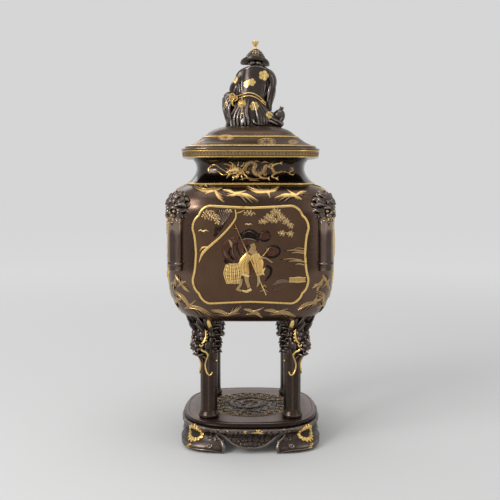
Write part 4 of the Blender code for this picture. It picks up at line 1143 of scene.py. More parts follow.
def clump(x, up, wide, tall, count, size, tint):
    """A cluster of leaves, each 137.5 degrees round from the last.

    Leaf k lies at sqrt((k + 0.4) / count) of the way out.
    """
    strokes = []
    for k in range(count):
        angle = math.radians(137.5 * k)
        reach = math.sqrt((k + 0.4) / count)
        spot = np.array([x + wide * reach * math.cos(angle), up + tall * reach * math.sin(angle)])
        way = 0.7 * size * np.array([math.cos(2.3 * angle), math.sin(2.3 * angle)])
        strokes.append(([spot - way, spot, spot + way], (0.4 * size, 0.8 * size, 0.3 * size), 0.9, tint))
    return strokes


def inlaid(wall, strokes, level=0.0, spans=4):
    """Strokes (places, half widths, rise, tint) as pads on a wall's front, the tint in each point."""
    grids = []
    for places, widths, rise, tint in strokes:
        across, up, lift = pad(smooth_line(places, spans * (len(places) - 1)), widths, rise, 8)
        spots = wall.front(across, level + up, lift)
        grids.append(closed(np.concatenate([spots, np.full(spots.shape[:2] + (1,), tint)], axis=-1)))
    return grids


cranes = []
for places in (
    ((-106.6, 256.5), (-96, 245), (-85.4, 232.9), (-104, 238)),
    ((-107.4, 234.4), (-86, 212), (-55.5, 201.4), (-76.5, 222)),
    ((-54.7, 208.5), (-32.7, 200.5), (-12.8, 213.5), (-15, 203)),
    ((-9.9, 210), (4, 204), (17, 196), (18.4, 211.6)),
    ((19.2, 208.5), (38, 203.5), (63.3, 199), (52.3, 210)),
    ((65.6, 209.3), (91, 218), (104, 223), (93.2, 229)),
    ((85.3, 239.2), (97.9, 243.9), (92, 234), (103.4, 254.9)),
    ((-80, 378.5), (-49, 375.5), (-36.6, 358.5), (-63, 370)),
    ((-38, 376), (-22, 369.5), (10.6, 360.3), (-5.9, 374.5)),
    ((-5.2, 378), (24, 373), (40.5, 379.5), (27, 364.5)),
    ((32.6, 364.2), (62.5, 366.8), (78.2, 373.5), (50.7, 376)),
):
    low = places[1][1] < 300.0
    for line, widths, rise, tint in crane(*places):
        cranes.append((line, widths, rise, TAN if low and tint == GOLD else tint))


def inlay(name):
    """Inlaid metals, from dark iron by copper and bronze to pale gold as the attribute tint says."""
    finish = Finish(name)
    bands = [
        (0.0, (0.030, 0.017, 0.011)), (1 / 7, (0.016, 0.013, 0.013)), (2 / 7, (0.095, 0.042, 0.028)),
        (3 / 7, (0.17, 0.120, 0.095)), (4 / 7, (0.44, 0.29, 0.14)), (5 / 7, (0.72, 0.48, 0.17)),
        (6 / 7, (0.86, 0.63, 0.28)),
    ]
    metal = finish.make(
        "ShaderNodeValToRGB", {"bands": bands}, finish.attribute("tint") + (finish.noise(300.0) - 0.5) * 0.10
    )
    rub = finish.noise(170.0, 4.0, 0.6).between(0.5, 0.75)
    # dark brown in crevices, read from hollow: grime and painted shade
    crevice_grime_and_shade = finish.attribute("hollow").between(0.2, 2.0)
    worn = finish.blend(rub * 0.5, metal, (0.20, 0.12, 0.07))
    finish.paint(
        Base_Color=finish.blend(crevice_grime_and_shade * 0.7, worn, (0.03, 0.018, 0.012)), Metallic=0.95,
        Roughness=0.33 + rub * 0.15, Normal=finish.bump(finish.noise(700.0, 2.0), 0.25, 0.0003),
    )
    return finish


inlay_metals = inlay("inlay_metals")
finished("cranes", all_sides(inlaid(body_wall, cranes)), 3, inlay_metals, attributes=("tint",))

# the trunk is drawn over a broad low umber pad, which is painted shade on it
landscape = [([(-36, 60), (-39, 50), (-44, 36), (-50, 23)], (10, 9, 6.5, 1.5), 0.5, UMBER)]
for bark_line in range(7):
    across = 2.7 * (bark_line - 3)
    line = [(-34 + across, 60), (-38 + 0.85 * across, 50), (-43 + 0.6 * across, 36 + 0.5 * abs(across))]
    landscape.append((line, (0.6, 1.0, 0.3), 0.9, BARK))
branch = [(-21.0, 60.5), (-20.5, 48.6), (-31.8, 32.9), (-47.6, 17.2), (-65, 1.5), (-71.1, -12.5)]
landscape.append((branch, (1.1, 1.5, 1.7, 1.9, 2.6, 0.6), 1.5, GOLD))
landscape.append(([(-21, 55), (-14, 57), (-8, 60)], (0.6, 0.9, 0.3), 1.0, GOLD))
landscape.append(([(-58, 9), (-66, 8), (-70, 3)], (1.4, 1.6, 0.3), 1.2, GOLD))
for x, up, wide, tall, count, size, tint in (
    (-56, 52.5, 11, 7, 28, 2.1, TAN), (-46, 46, 5, 6, 12, 1.9, GOLD), (-2, 55.5, 8, 4.0, 14, 1.9, TAN),
    (-30, 58.5, 6, 2.6, 8, 1.6, TAN), (17, 44, 6, 3.6, 14, 2.0, TAN), (26, 50, 7, 5, 18, 2.1, TAN),
    (35, 57, 7, 5, 18, 2.1, TAN), (42, 50, 6, 5, 16, 2.1, TAN), (49, 44, 5, 4.5, 13, 2.0, TAN),
    (55, 38.5, 4.5, 4, 11, 1.9, TAN), (32, 45, 7, 3, 12, 1.9, TAN), (43, 28, 5.5, 3.6, 12, 1.9, TAN),
    (54.5, 27, 5.0, 4.0, 12, 1.9, TAN), (33, -50, 13, 7, 34, 0.9, BARK),
):
    landscape += clump(x, up, wide, tall, count, size, tint)
    # each tan clump gets a smaller pale gold one above and to its left: a painted highlight on its lit side
    if tint == TAN:
        landscape += clump(
            x - 0.8, up + 0.25 * tall, 0.8 * wide, 0.7 * tall, count // 2, 0.55 * size, PALE_GOLD
        )
landscape += bird(-65, 30.5, 7.5) + bird(-3, 40, 5.0)
for left, right, up, wide in (
    (46, 74, 3.6, 1.3), (54, 75, 0.4, 1.6), (41, 70, -8.4, 1.1), (50, 75, -11.2, 1.6), (60, 74, -15.6, 1.4),
    (58, 75, 6.4, 0.9)
):
    middle = 0.5 * (left + right)
    landscape.append(([(left, up), (middle, up + 1.2), (right, up - 0.6)], (0.2, wide, wide), 0.5, TAN))
for reed in range(15):
    x = 54.0 + 1.5 * reed
    tall = 4.6 - 0.25 * abs(reed - 8)
    landscape.append(([(x, -36.5 - tall), (x, -36.5 + tall)], (0.75, 0.65), 0.8, GOLD))
for up in (-33.5, -39.5):
    landscape.append(([(53, up), (76, up)], (0.5, 0.5), 1.3, PALE_GOLD))
landscape.append(([(30, -44), (42, -38.5), (53, -39)], (0.8, 4.2, 2.2), 0.6, BARK))

figure_picture = [
    ([(-10, 20), (-10, 6), (-8, -6)], (7, 10.5, 10), 1.3, COPPER),
    ([(-20, -8), (-8, -12), (6, -8)], (3, 5, 3), 1.2, COPPER),
    ([(-14, 17), (-25, 17), (-33, 9), (-33, -2), (-24, -11)], (4, 6.5, 6.5, 6.0, 3.0), 1.8, COPPER),
    ([(-30, 19), (-27, 15), (-26, 8)], (1.0, 2.6, 0.8), 2.3, TAN),
    ([(-36, 8), (-35, -1), (-28, -9)], (0.6, 1.1, 0.6), 2.6, BARK),
    ([(-24, 14), (-25, 2), (-20, -8)], (0.6, 1.2, 0.6), 2.6, BARK),
    ([(-19, 16), (-18, 6), (-14, -4)], (0.5, 1.4, 0.5), 2.5, DARK),
    ([(-31, 4), (-29, -3), (-24, -8)], (0.5, 1.0, 0.5), 2.6, DARK),
    ([(-13, 12), (-11, 3), (-9, -4)], (0.5, 1.0, 0.4), 2.2, BARK),
    ([(-28, 16), (-22, 17.5), (-16, 15)], (0.4, 0.9, 0.4), 2.6, BARK),
    ([(-36, -9), (-31, -14), (-25, -15)], (1.6, 2.4, 1.6), 1.8, DARK),
    ([(-2, 5), (5, 1), (10, -6)], (4.5, 5.5, 3.0), 1.7, TAN),
    ([(2, 13.5), (4.4, 8), (5.5, 4.6)], (4.4, 4.8, 2.4), 2.3, TAN),
    ([(-15, 19), (-11, 24), (-2, 28), (7, 24.5), (11, 18.5)], (1.6, 5.0, 6.5, 5.0, 1.2), 2.7, DARK),
    ([(-15, 18), (-6, 20.5), (3, 19.5), (11, 16.5)], (0.7, 1.3, 1.3, 0.6), 3.0, BARK),
    ([(-10, 27), (-2, 31), (6, 27)], (0.5, 0.9, 0.5), 3.1, TAN),
    ([(-3, 12), (-7, 8), (-9, 3)], (1.0, 2.4, 1.0), 2.2, DARK),
    ([(1.2, 10.6), (3.2, 10.9)], (0.35, 0.35), 2.9, DARK),
    ([(5.4, 10.7), (7.0, 10.2)], (0.35, 0.35), 2.9, DARK), ([(4.6, 9.8), (4.9, 7.6)], (0.4, 0.6), 3.0, TAN),
    ([(3.6, 5.8), (6.2, 5.7)], (0.3, 0.3), 2.9, COPPER),
    ([(12, -7), (20, -6), (28, -11), (30, -12)], (2.0, 1.3, 1.2, 1.6), 2.2, TAN),
    ([(25.8, 8), (19, -1), (13.5, -6)], (0.8, 0.8, 0.8), 2.6, GOLD),
    ([(-2, -1), (-10, -14), (-6, -29)], (6.5, 8.2, 6.0), 1.9, GOLD),
    ([(4, -1), (10, -13), (12, -30)], (7.0, 8.2, 5.0), 1.9, GOLD),
    ([(-13, -28), (-2, -31)], (2.2, 2.4), 2.1, PALE_GOLD),
    ([(-6, -30), (-5, -38), (-2, -47)], (4.2, 3.6, 3.0), 1.6, TAN),
    ([(-13, -35), (-14, -43), (-18, -49)], (3.0, 2.6, 2.4), 1.4, TAN),
    ([(-20, -49), (-13, -51.5)], (2.2, 2.2), 1.6, TAN),
    ([(-12, -51), (-5, -52.5), (1, -49)], (1.4, 2.4, 2.6), 1.7, PALE_GOLD),
    ([(11, -31), (11, -40), (9, -46)], (3.0, 2.6, 1.2), 1.3, TAN),
    ([(20, -20), (16.5, -25), (19, -30)], (1.0, 2.6, 0.8), 1.4, PALE_GOLD),
    ([(21.5, -17), (28, -21), (27, -29), (20, -38)], (1.4, 1.6, 1.4, 0.6), 1.1, DARK),
    ([(15, -48), (19, -44), (22, -47)], (0.6, 1.4, 0.6), 0.9, TAN),
    ([(13, -53), (19, -50), (24, -53)], (0.6, 1.2, 0.6), 0.9, TAN),
]
for fold in range(7):
    lean = -13.0 + 4.2 * fold
    foot = -12.5 + 4.0 * fold + (2.0 if fold > 3 else 0.0)
    figure_picture.append((
        [(0.55 * lean, -4), (lean, -15), (foot, -28)], (0.3, 0.6, 0.3), 2.6, TAN if fold % 2 else PALE_GOLD
    ))
for x, up, wide, tall in ((19.5, 24.0, 8.4, 8.8), (30.5, 2.5, 11.0, 9.8)):
    # each bundle is a copper boss over a larger dark one, whose rim is painted shade, with a tan stroke along
    # its upper left as a painted highlight
    figure_picture += [oval(x, up, wide, tall, 1.7, DARK), oval(x, up, 0.82 * wide, 0.80 * tall, 2.4, COPPER)]
    figure_picture.append((
        [
            (x - 0.7 * wide, up + 0.1 * tall), (x - 0.3 * wide, up + 0.62 * tall),
            (x + 0.4 * wide, up + 0.66 * tall)
        ],
        (0.3, 0.8, 0.3), 2.9, TAN
    ))
    for lean in (-0.5, -0.1, 0.3):
        line = [
            (x + (lean - 0.3) * wide, up - 0.5 * tall), (x + lean * wide, up + 0.1 * tall),
            (x + (lean + 0.5) * wide, up + 0.6 * tall)
        ]
        figure_picture.append((line, (0.3, 0.6, 0.3), 3.0, BARK))
for stave in range(9):
    bow = (stave - 4) / 4.0
    line = [(-25 + 7.5 * bow, -13.5), (-25 + 11.4 * bow, -27), (-24.5 + 8.0 * bow, -41.5)]
    figure_picture.append((line, (1.1, 1.5, 1.1), 2.5 - 1.2 * bow * bow, PALE_GOLD if stave % 2 else GOLD))
for hoop in range(6):
    up = -15.5 - 4.8 * hoop
    reach = 11.0 - 0.12 * (up + 27.5) ** 2 / 6.0
    line = [(-25 - reach, up + 0.8), (-25, up - 0.8), (-25 + reach, up + 0.8)]
    figure_picture.append((line, (0.35, 0.5, 0.35), 2.9, TAN))
staff = [(-21.4, 40), (-10, 14), (0, -8.6), (21.4, -57)]
figure_picture += [
    (staff, (0.8, 0.9, 1.0, 0.9), 3.1, PALE_GOLD), ([(-24, 35), (-19, 34)], (0.6, 0.6), 2.4, GOLD)
]
scenery = inlaid(body_wall, landscape, PANEL_CENTRE, 2)
picture = turned(scenery, 1) + turned(scenery, 2) + turned(scenery, 3)
# the landscape and the figure get low umber edges: painted shadow round their strokes
picture += inlaid(body_wall, with_shadow_edges(landscape, 0.6), PANEL_CENTRE, 3)
picture += inlaid(body_wall, with_shadow_edges(figure_picture), PANEL_CENTRE)
finished("panel_pictures", picture, 3, inlay_metals, attributes=("tint",))

beast_line = [
    (-19, 401), (-10, 403), (-6, 410), (1, 414), (7, 410), (4, 403), (10, 397.5), (19, 402), (22, 409),
    (30, 406), (35, 399), (46, 401), (57, 398)
]
neck_strokes = [
    (beast_line, (2.6, 3.2, 3.2, 3.2, 3.4, 3.8, 4.0, 3.6, 3.0, 2.8, 2.4, 1.6, 0.4), 2.0, TAN),
    ([(-34, 399), (-28, 402), (-21, 404), (-17, 402)], (1.0, 2.6, 3.6, 3.0), 2.4, PALE_GOLD),
    ([(-32, 396), (-27, 397.5), (-20, 399)], (0.7, 1.3, 1.8), 2.0, GOLD),
    ([(-24, 406), (-30, 410), (-38, 412)], (1.3, 1.0, 0.4), 1.6, GOLD),
    ([(-21, 406), (-24, 411), (-30, 415)], (1.3, 1.0, 0.4), 1.6, GOLD),
    ([(-34, 400), (-42, 405), (-52, 411), (-59, 406)], (0.7, 0.8, 0.8, 0.3), 1.2, GOLD),
    ([(-33, 397), (-40, 396), (-46, 401), (-52, 400)], (0.6, 0.8, 0.7, 0.3), 1.2, GOLD),
    ([(-52, 411), (-60, 405), (-58, 398)], (0.5, 1.4, 0.6), 1.2, GOLD),
    ([(-14, 400), (-20, 394), (-26, 393)], (2.2, 1.6, 1.0), 1.8, GOLD),
    ([(10, 398), (16, 392), (24, 391)], (2.2, 1.6, 0.9), 1.8, GOLD),
    ([(28, 406), (34, 411), (42, 413)], (2.2, 1.6, 0.9), 1.6, GOLD),
    ([(36, 399), (30, 394), (36, 391)], (1.8, 1.2, 0.6), 1.6, GOLD),
    ([(-16, 389), (-6, 392), (4, 390), (16, 391.5)], (0.3, 1.6, 1.4, 0.3), 0.8, TAN),
    ([(-2, 388), (6, 388.6), (12, 387.8)], (0.3, 1.0, 0.3), 0.7, TAN),
    ([(54, 399), (60, 403), (57, 407)], (0.8, 1.0, 0.4), 1.2, GOLD),
    ([(54, 398), (60, 396), (63, 399)], (0.8, 0.8, 0.3), 1.2, GOLD),
]
for x, z in ((-26, 393), (24, 391), (42, 413), (36, 391)):
    for claw in (-1, 0, 1):
        neck_strokes.append(([(x, z), (x + 3.2, z + 2.4 * claw)], (0.7, 0.2), 1.2, PALE_GOLD))
for scale, spot in enumerate(smooth_line(beast_line, 44)[:44]):
    neck_strokes.append((
        [spot - (0.0, 2.1), spot + (1.2, 2.1)], (0.35, 0.35), 2.5, GOLD if scale % 2 else UMBER
    ))
for k, (x, z, size) in enumerate((
    (-22, 400, 3.0), (-16, 405, 3.2), (-11, 398, 2.8), (-27, 405, 2.6), (-31, 399, 2.4), (-19, 394, 2.6),
    (-8, 405, 2.6), (-24, 410, 2.2), (-4, 399, 2.4), (0, 404, 3.2), (13, 403, 3.4), (21, 397, 2.4)
)):
    neck_strokes.append((
        curl(x, z, size, 1.3, 2.0 * k, swing(k), 8).tolist(), (0.9, 0.9, 0.6), 2.8,
        PALE_GOLD if k < 9 else TAN
    ))
for x, z, dx, dz in (
    (-14, 408, 5, 6), (-18, 409, 1, 6), (-30, 403, -6, 4), (-29, 396, -5, -5), (-13, 394, 2, -6),
    (-9, 396, 5, -5), (-23, 392, -2, -4)
):
    neck_strokes.append((
        [(x, z), (x + 0.6 * dx, z + 0.4 * dz), (x + dx, z + dz)], (1.1, 0.7, 0.2), 2.2, PALE_GOLD
    ))
for x, z in ((-4, 413), (8, 415), (20, 414), (30, 411)):
    neck_strokes.append(([(x - 5, z - 1), (x, z + 0.6), (x + 6, z - 0.6)], (0.4, 1.5, 0.3), 0.8, TAN))
neck_grids = inlaid(neck_wall, neck_strokes)
neck_grids += turned(neck_grids, 2)
finished("neck_dragons", neck_grids, 3, inlay_metals, attributes=("tint",))


# The handles: four bronze castings fixed on the vessel's corners, each a lion's mask with a curled
# mane over a plain upright bar with a collar near its foot; the eyes and fangs are gilt.
HANDLE_REACH = BODY_HALF * 2.0 ** (0.5 - 1.0 / BODY_POWER)
MASK_LEVEL = 350.5


def mask_place(out, across, up):
    """A place from the vessel's corner outward, across and up from the mask's middle."""
    return (HANDLE_REACH - 4.0 + out, across, MASK_LEVEL + up)


def mask_egg(out, across, up, long, wide, tall, lean=(0.0, 0.0, 0.0)):
    return egg(mask_place(out, across, up), (long, wide, tall), lean)


def mask_tube(places, radii, **more):
    return tube([mask_place(*place) for place in places], radii, **more)


def mask_lock(angle, root, tip, back, thick, hand):
    """A lock of the mane that leaves the face at an angle, falls back as it goes and curls over at its end.

    Each place lies at a reach along the angle and a way beside it: reach (c, s) + beside (s, -c).
    """
    c, s = math.cos(angle), 1.04 * math.sin(angle)
    line = ((6.0, root, 0.0), (4.6, 0.5 * (root + tip), -1.2), (0.0, tip, 1.0), (-0.6, tip - 2.0, 4.2))
    places = [
        (back + out, reach * c + beside * hand * s, 1.5 + reach * s - beside * hand * c)
        for out, reach, beside in line
    ]
    radii = (0.8 * thick, thick, 0.8 * thick, 0.2 * thick)
    return mask_tube(places, radii, count=12, grooves=4, depth=0.14, twist=2.0 * hand, rows=26)


cheek = [
    mask_tube(
        [(14.2, 1.4, -1.8), (14.4, 6.0, 0.6), (10.8, 11.0, -0.6)], (2.2, 3.1, 1.4), grooves=3, depth=0.10
    ),
    mask_egg(12.0, 6.0, -4.8, 3.0, 3.6, 2.9), mask_egg(14.4, 4.5, -10.8, 5.0, 4.7, 3.9),
    mask_egg(8.0, 11.5, -8.5, 5.4, 4.4, 6.6), mask_egg(17.8, 2.7, -7.2, 2.3, 2.2, 1.9),
    mask_tube([(10.5, 6.4, -15.0), (10.0, 8.4, -18.6), (11.4, 4.0, -21.6)], (1.6, 2.0, 1.4)),
    mask_egg(4.5, 15.4, 7.0, 3.0, 3.2, 4.6, (0, 0, 20)),
]
lids = [
    (13.9 + 0.5 * math.cos(t), 6.2 + 2.5 * math.cos(t), -4.7 + 2.1 * math.sin(t))
    for t in steps(0.0, 2.0 * math.pi, 12)
]
cheek.append(mask_tube(lids, (0.75, 0.75), count=8, rows=30))
for lock in range(6):
    angle = math.radians(84.0 - 25.0 * lock)
    cheek.append(mask_lock(angle, 9.5, 18.0 + 1.2 * (lock % 2), 4.4, 3.1, swing(lock)))
for lock in range(7):
    cheek.append(mask_lock(math.radians(76.0 - 23.0 * lock), 12.5, 20.0, -1.6, 3.5, -swing(lock)))
for lock in range(3):
    cheek.append(mask_lock(math.radians(80.0 - 30.0 * lock), 6.0, 13.0, 7.0, 2.3, swing(lock)))
for lock in range(3):
    # the beard
    start = (7.5 - 1.5 * lock, 2.6 + 3.2 * lock, -21.0 + 1.4 * lock)
    cheek.append(mask_tube(
        [start, np.add(start, (2.2, 0.8, -3.2)), np.add(start, (0.4, 1.8, -5.0))], (1.9, 1.7, 0.4),
        grooves=3, depth=0.15
    ))
skull = [
    mask_egg(0.5, 0, 0, 11.5, 14.0, 16.0), mask_egg(9.0, 0, 4.0, 5.0, 7.5, 5.5),
    mask_egg(13.2, 0, -3.5, 4.4, 2.9, 6.0), mask_egg(12.0, 0, -10.0, 5.5, 6.5, 4.6),
    mask_egg(17.2, 0, -6.4, 2.9, 4.2, 2.7), mask_egg(10.0, 0, -20.4, 5.2, 5.6, 2.4),
    mask_egg(5.5, 0, -15.5, 6.0, 8.0, 5.5),
    mask_tube([(11.5, 0, -21), (12.6, 0, -23.6), (11, 0, -26.4)], (2.2, 2.0, 0.5), grooves=4, depth=0.2),
]
for wrinkle in range(3):
    out, up = 14.6 - 1.2 * wrinkle, 1.6 + 1.9 * wrinkle
    skull.append(mask_tube(
        [(out, -3.6, up), (out + 1.2, 0, up - 1.0), (out, 3.6, up)], (0.5, 0.9, 0.5), count=8
    ))
mask_mesh = tone(melted("mask", skull + cheek + mirrored(cheek), 0.58), 8)
handle_bronze = bronze(
    "handle_bronze", (0.010, 0.006, 0.005), (0.062, 0.041, 0.032), (0.36, 0.28, 0.22), 0.25, 0.92, 0.35
)
four_corners("mask", mask_mesh, handle_bronze)

bar_side = smooth_line(
    [
        (262.0, 0.78), (262.2, 0.88), (263.2, 0.95), (268.6, 0.95), (269.8, 0.97), (270.6, 1.08),
        (272.0, 1.14), (273.6, 1.14), (274.8, 1.07), (275.6, 0.98), (277.5, 0.96), (300.0, 0.96),
        (342.0, 1.0),
    ],
    90
)
bar_x, bar_y = plan(3.4, 96)
bar_z, bar_share = bar_side[:, :1], bar_side[:, 1:]
bar = grid(HANDLE_REACH - 2.0 + 10.6 * bar_share * bar_x, 11.2 * bar_share * bar_y, bar_z)
bar_bronze = bronze(
    "bar_bronze", (0.018, 0.012, 0.010), (0.078, 0.048, 0.036), (0.30, 0.22, 0.17), 0.22, 0.95, 0.25
)
four_corners(
    "handle_bar", tone(surface("handle_bar", [closed(bar)]), 8), bar_bronze, "handle"
)
mask_gilt = [
    mask_egg(14.2, 6.2, -4.7, 1.9, 2.0, 1.8),
    mask_tube([(14.8, 5.4, -13.4), (15.0, 5.5, -18.2)], (1.7, 0.4), count=8)
]
mask_gilt.append(mask_tube([(16.0, 1.6, -13.0), (16.2, 1.6, -15.2)], (1.0, 0.4), count=8))
four_corners(
    "mask_gilt", tone(surface("mask_gilt", mask_gilt + mirrored(mask_gilt)), 3), body_gold
)


# The lid: a hollow bronze casting that lifts off. Its flange drops into the mouth; two gold rings
# run round its slope, and a flat in the middle carries the seated figure.
lid_side = smooth_line(
    [
        (434.3, 96.9), (435.0, 97.0), (437.2, 96.9), (437.6, 94.0), (438.6, 91.4), (440.5, 88.6),
        (443.3, 82.6), (446.4, 77.8), (449.3, 74.0), (452.0, 70.2), (454.4, 67.6), (455.2, 66.2),
        (458.5, 62.8), (462.0, 57.5), (465.0, 50.5), (466.9, 44.0), (467.7, 40.5), (467.8, 38.0),
    ],
    120
)
lid_wall = Wall(lid_side[lid_side[:, 0] > 438.0], BODY_POWER)
lid_profile = [
    (463.5, 10.0), (463.5, 36.0), (457.0, 54.0), (451.0, 62.0), (444.0, 70.0), (437.8, 73.1), (425.6, 73.1),
    (425.3, 73.4), (425.3, 74.9), (425.6, 75.2), (434.0, 75.3), (434.3, 76.0)
]
lid_profile += [*lid_side.tolist(), (467.8, 26.0), (467.8, 12.0)]
lid_mesh = tone(surface("lid", [closed(square_skin(lid_profile, BODY_POWER, 420))]), 12)
lid_bronze = bronze(
    "lid_bronze", (0.015, 0.009, 0.006), (0.090, 0.055, 0.034), (0.22, 0.15, 0.10), 0.36, 0.95, 0.05
)
piece("lid_shell", lid_mesh, lid_bronze, ("lid",))
rings = []
for level, half in ((437.5, 95.4), (451.4, 71.3)):
    section = ((-1.2, -0.7), (-0.9, 1.4), (-0.1, 1.6), (1.0, 0.4), (1.2, -1.3), (0.0, -1.9))
    rings.append(square_ring([(level + rise, half + out) for rise, out in section], BODY_POWER))
finished("lid_rings", rings, 3, body_gold)


def roundel(x, z, radius, squeeze):
    """A flower in a ring, inlaid flat: its height is squeezed to suit the slope that it lies on."""
    strokes = [(
        [(x - 0.5 * radius, z), (x, z), (x + 0.5 * radius, z)],
        (0.72 * radius * squeeze, 0.96 * radius * squeeze) * 2, 0.12, BARK
    )]
    rim = [
        (x + radius * math.cos(t), z + squeeze * radius * math.sin(t))
        for t in steps(0.0, 2.0 * math.pi, 16)
    ]
    strokes.append((rim, (0.6, 0.6), 0.25, TAN))
    for angle in around(10):
        way = np.array([math.cos(angle), squeeze * math.sin(angle)]) * radius
        strokes.append((
            [(x, z) + 0.28 * way, (x, z) + 0.6 * way, (x, z) + 0.88 * way], (0.4, 0.13 * radius, 0.3), 0.3,
            TAN
        ))
    return strokes


roundels = roundel(-35.5, 449.6, 11.0, 0.34) + roundel(23.0, 442.8, 12.5, 0.42)
roundels += roundel(61.0, 443.0, 7.0, 0.42)
finished(
    "lid_roundels", all_sides(inlaid(lid_wall, roundels)), 2, inlay_metals,
    attributes=("tint",)
)


# The figure on the lid: one bronze casting of a seated wanderer who looks away from the front, with a
# drooping hat, one knee raised and a gourd at its side; roundels, sash, pouch and knob are gilt.
SEAT = 468.2
robe_rows = smooth_line(
    [
        (466.0, 3.0, 1.0, 33.0, 25.0), (474.0, 3.0, 1.0, 33.0, 25.0), (484.0, 2.5, 0.0, 30.0, 23.5),
        (495.0, 2.0, -1.0, 25.0, 20.0), (506.0, 1.5, -2.0, 21.5, 17.5), (516.0, 2.5, -2.5, 20.5, 16.5),
        (530.0, 5.0, -3.0, 20.6, 16.0), (542.0, 7.0, -3.5, 20.8, 15.5), (550.0, 8.0, -3.0, 20.6, 14.5),
        (556.0, 8.2, -2.5, 18.6, 13.0), (559.4, 8.0, -1.0, 14.0, 11.0), (560.6, 8.0, 0.0, 9.0, 8.0),
    ],
    60
)


def on_back(x, z, out=0.0):
    """The place x across and z up on the robe's back.

    y = middle - out - depth (1 - share^2.6)^(1 / 2.6), where share = |x - middle| / width.
    """
    across, middle, wide, deep = (np.interp(z, robe_rows[:, 0], values) for values in robe_rows.T[1:])
    share = np.minimum(np.abs(x - across) / wide, 0.995)
    return (x, middle - out - deep * (1.0 - share**2.6) ** (1.0 / 2.6), z)


def backs(places, out=0.0):
    return [on_back(x, z, out) for x, z in places]


robe_x, robe_y = plan(2.6, 72)
robe_z, middle_x, middle_y, half_wide, half_deep = robe_rows.T[..., None]
robe = [
    closed(grid(middle_x + half_wide * robe_x, middle_y + half_deep * robe_y, robe_z)),
    egg((-20, 8, 478), (18, 20, 12)), egg((15, 6, 476), (30, 22, 9)),
    # neck and skull
    tube([(7.6, -2, 552), (7.6, 0, 560), (7.6, 2, 568)], (8.0, 7.0, 7.6)),
    egg((7.6, 3.4, 568), (9.4, 10.4, 11.0)), egg((3.4, -5.6, 566), (4.6, 3.6, 4.8)),
    egg((11.6, -5.4, 565.5), (4.6, 3.6, 4.8)),
    # face: cheeks, nose, lips and chin
    egg((7.6, 9.0, 561.5), (6.6, 5.6, 7.0)),
    tube([(7.6, 13.4, 569.5), (7.6, 15.0, 566.0), (7.6, 16.2, 563.6)], (1.1, 1.3, 1.9)),
    tube([(7.6, 14.6, 560.6), (7.6, 14.9, 559.6)], (1.6, 1.6)), egg((7.6, 13.6, 560.4), (2.9, 1.5, 0.9)),
    egg((7.6, 13.5, 558.9), (2.4, 1.4, 0.9)), egg((7.6, 12.2, 555.4), (2.8, 2.6, 2.2)),
    # collar and shoulders
    tube(
        backs([(-7.5, 555), (0, 557.6), (8, 558.2), (16, 557.2), (23, 554)], 0.2), (1.0, 1.6, 1.8, 1.6, 1.0)
    ),
    egg((-17, 1, 525), (7, 9, 14)), egg((26, 1, 528), (6, 9, 24)),
    # left sleeve down to the raised knee
    tube(
        [(-4, -3, 551), (-12, -3, 547), (-17.5, -1, 538), (-23.0, 3, 529), (-22, 13, 524), (-24, 19, 522)],
        (8.5, 8.4, 7.8, 6.8, 5.6, 4.0), grooves=3, depth=0.06
    ),
    tube(
        [(-17, -4, 540), (-24, 1, 533), (-26.0, 6, 524), (-25, 10, 515)], (4.0, 6.0, 6.4, 2.5), grooves=4,
        depth=0.12
    ),
    tube([(-19, -4, 534), (-23, -2, 526), (-26, 4, 517)], (2.4, 3.6, 1.2), grooves=3, depth=0.15),
    egg((-25, 21, 524), (4.2, 5.6, 3.2)),
    # raised left knee, shin and foot
    tube(
        [(-8, 4, 490), (-20, 11, 506), (-31, 14, 514), (-34, 15, 512)], (17, 15, 11.0, 8.5), grooves=5,
        depth=0.05
    ),
    tube(
        [(-34, 14, 514), (-34.5, 11, 500), (-31.5, 8, 484), (-29, 7, 474)], (9.4, 8.8, 7.8, 6.5), grooves=6,
        depth=0.07
    ),
    egg((-32, 12, 471.8), (7.0, 13.0, 4.0)),
    # right arm, straight down on to the gourd
    tube(
        [(20, -3, 551), (28.0, -3, 546), (32.0, -2, 536), (29.0, -1, 520), (27.5, 0, 505), (28.0, 1, 493)],
        (8.5, 9.0, 8.2, 6.8, 6.0, 4.8), grooves=3, depth=0.07
    ),
    tube([(33, -6, 540), (28, -9, 524), (25, -9, 506)], (1.2, 2.4, 1.0)),
    tube([(37, -2, 536), (36, -4, 520), (32.5, -4, 503)], (1.0, 2.2, 0.8)),
    egg((24, -2, 494), (5.5, 5.5, 4.5)), tube([(22, -6, 494), (20, -9, 491)], (2.0, 1.2)),
    # folded right leg under the robe
    tube(
        [(6, 6, 482), (28, 16, 481), (42, 18, 477), (47, 12, 473)], (15, 13, 9.0, 5.0), grooves=5,
        depth=0.08
    ),
    tube(
        [(8, -10, 477), (24, -11, 479), (38, -7, 476), (47, -2, 472)], (12, 10.5, 7.5, 3.5), grooves=5,
        depth=0.10
    ),
    # gourd with its knob
    egg((42.5, 0, 484.5), (9.8, 10.2, 12.0), (0, 24, 0)), egg((34, 1, 480), (9.0, 9.0, 9.0)),
    tube([(44.5, 0, 492), (46.8, 0, 496.5), (48.0, 0, 499.5)], (4.0, 3.0, 3.8)),
    tube([(35, -9.0, 470), (41, -10.4, 474), (46.8, -8.6, 482), (49.4, -5.0, 489)], (0.8, 1.1, 1.1, 0.6)),
]
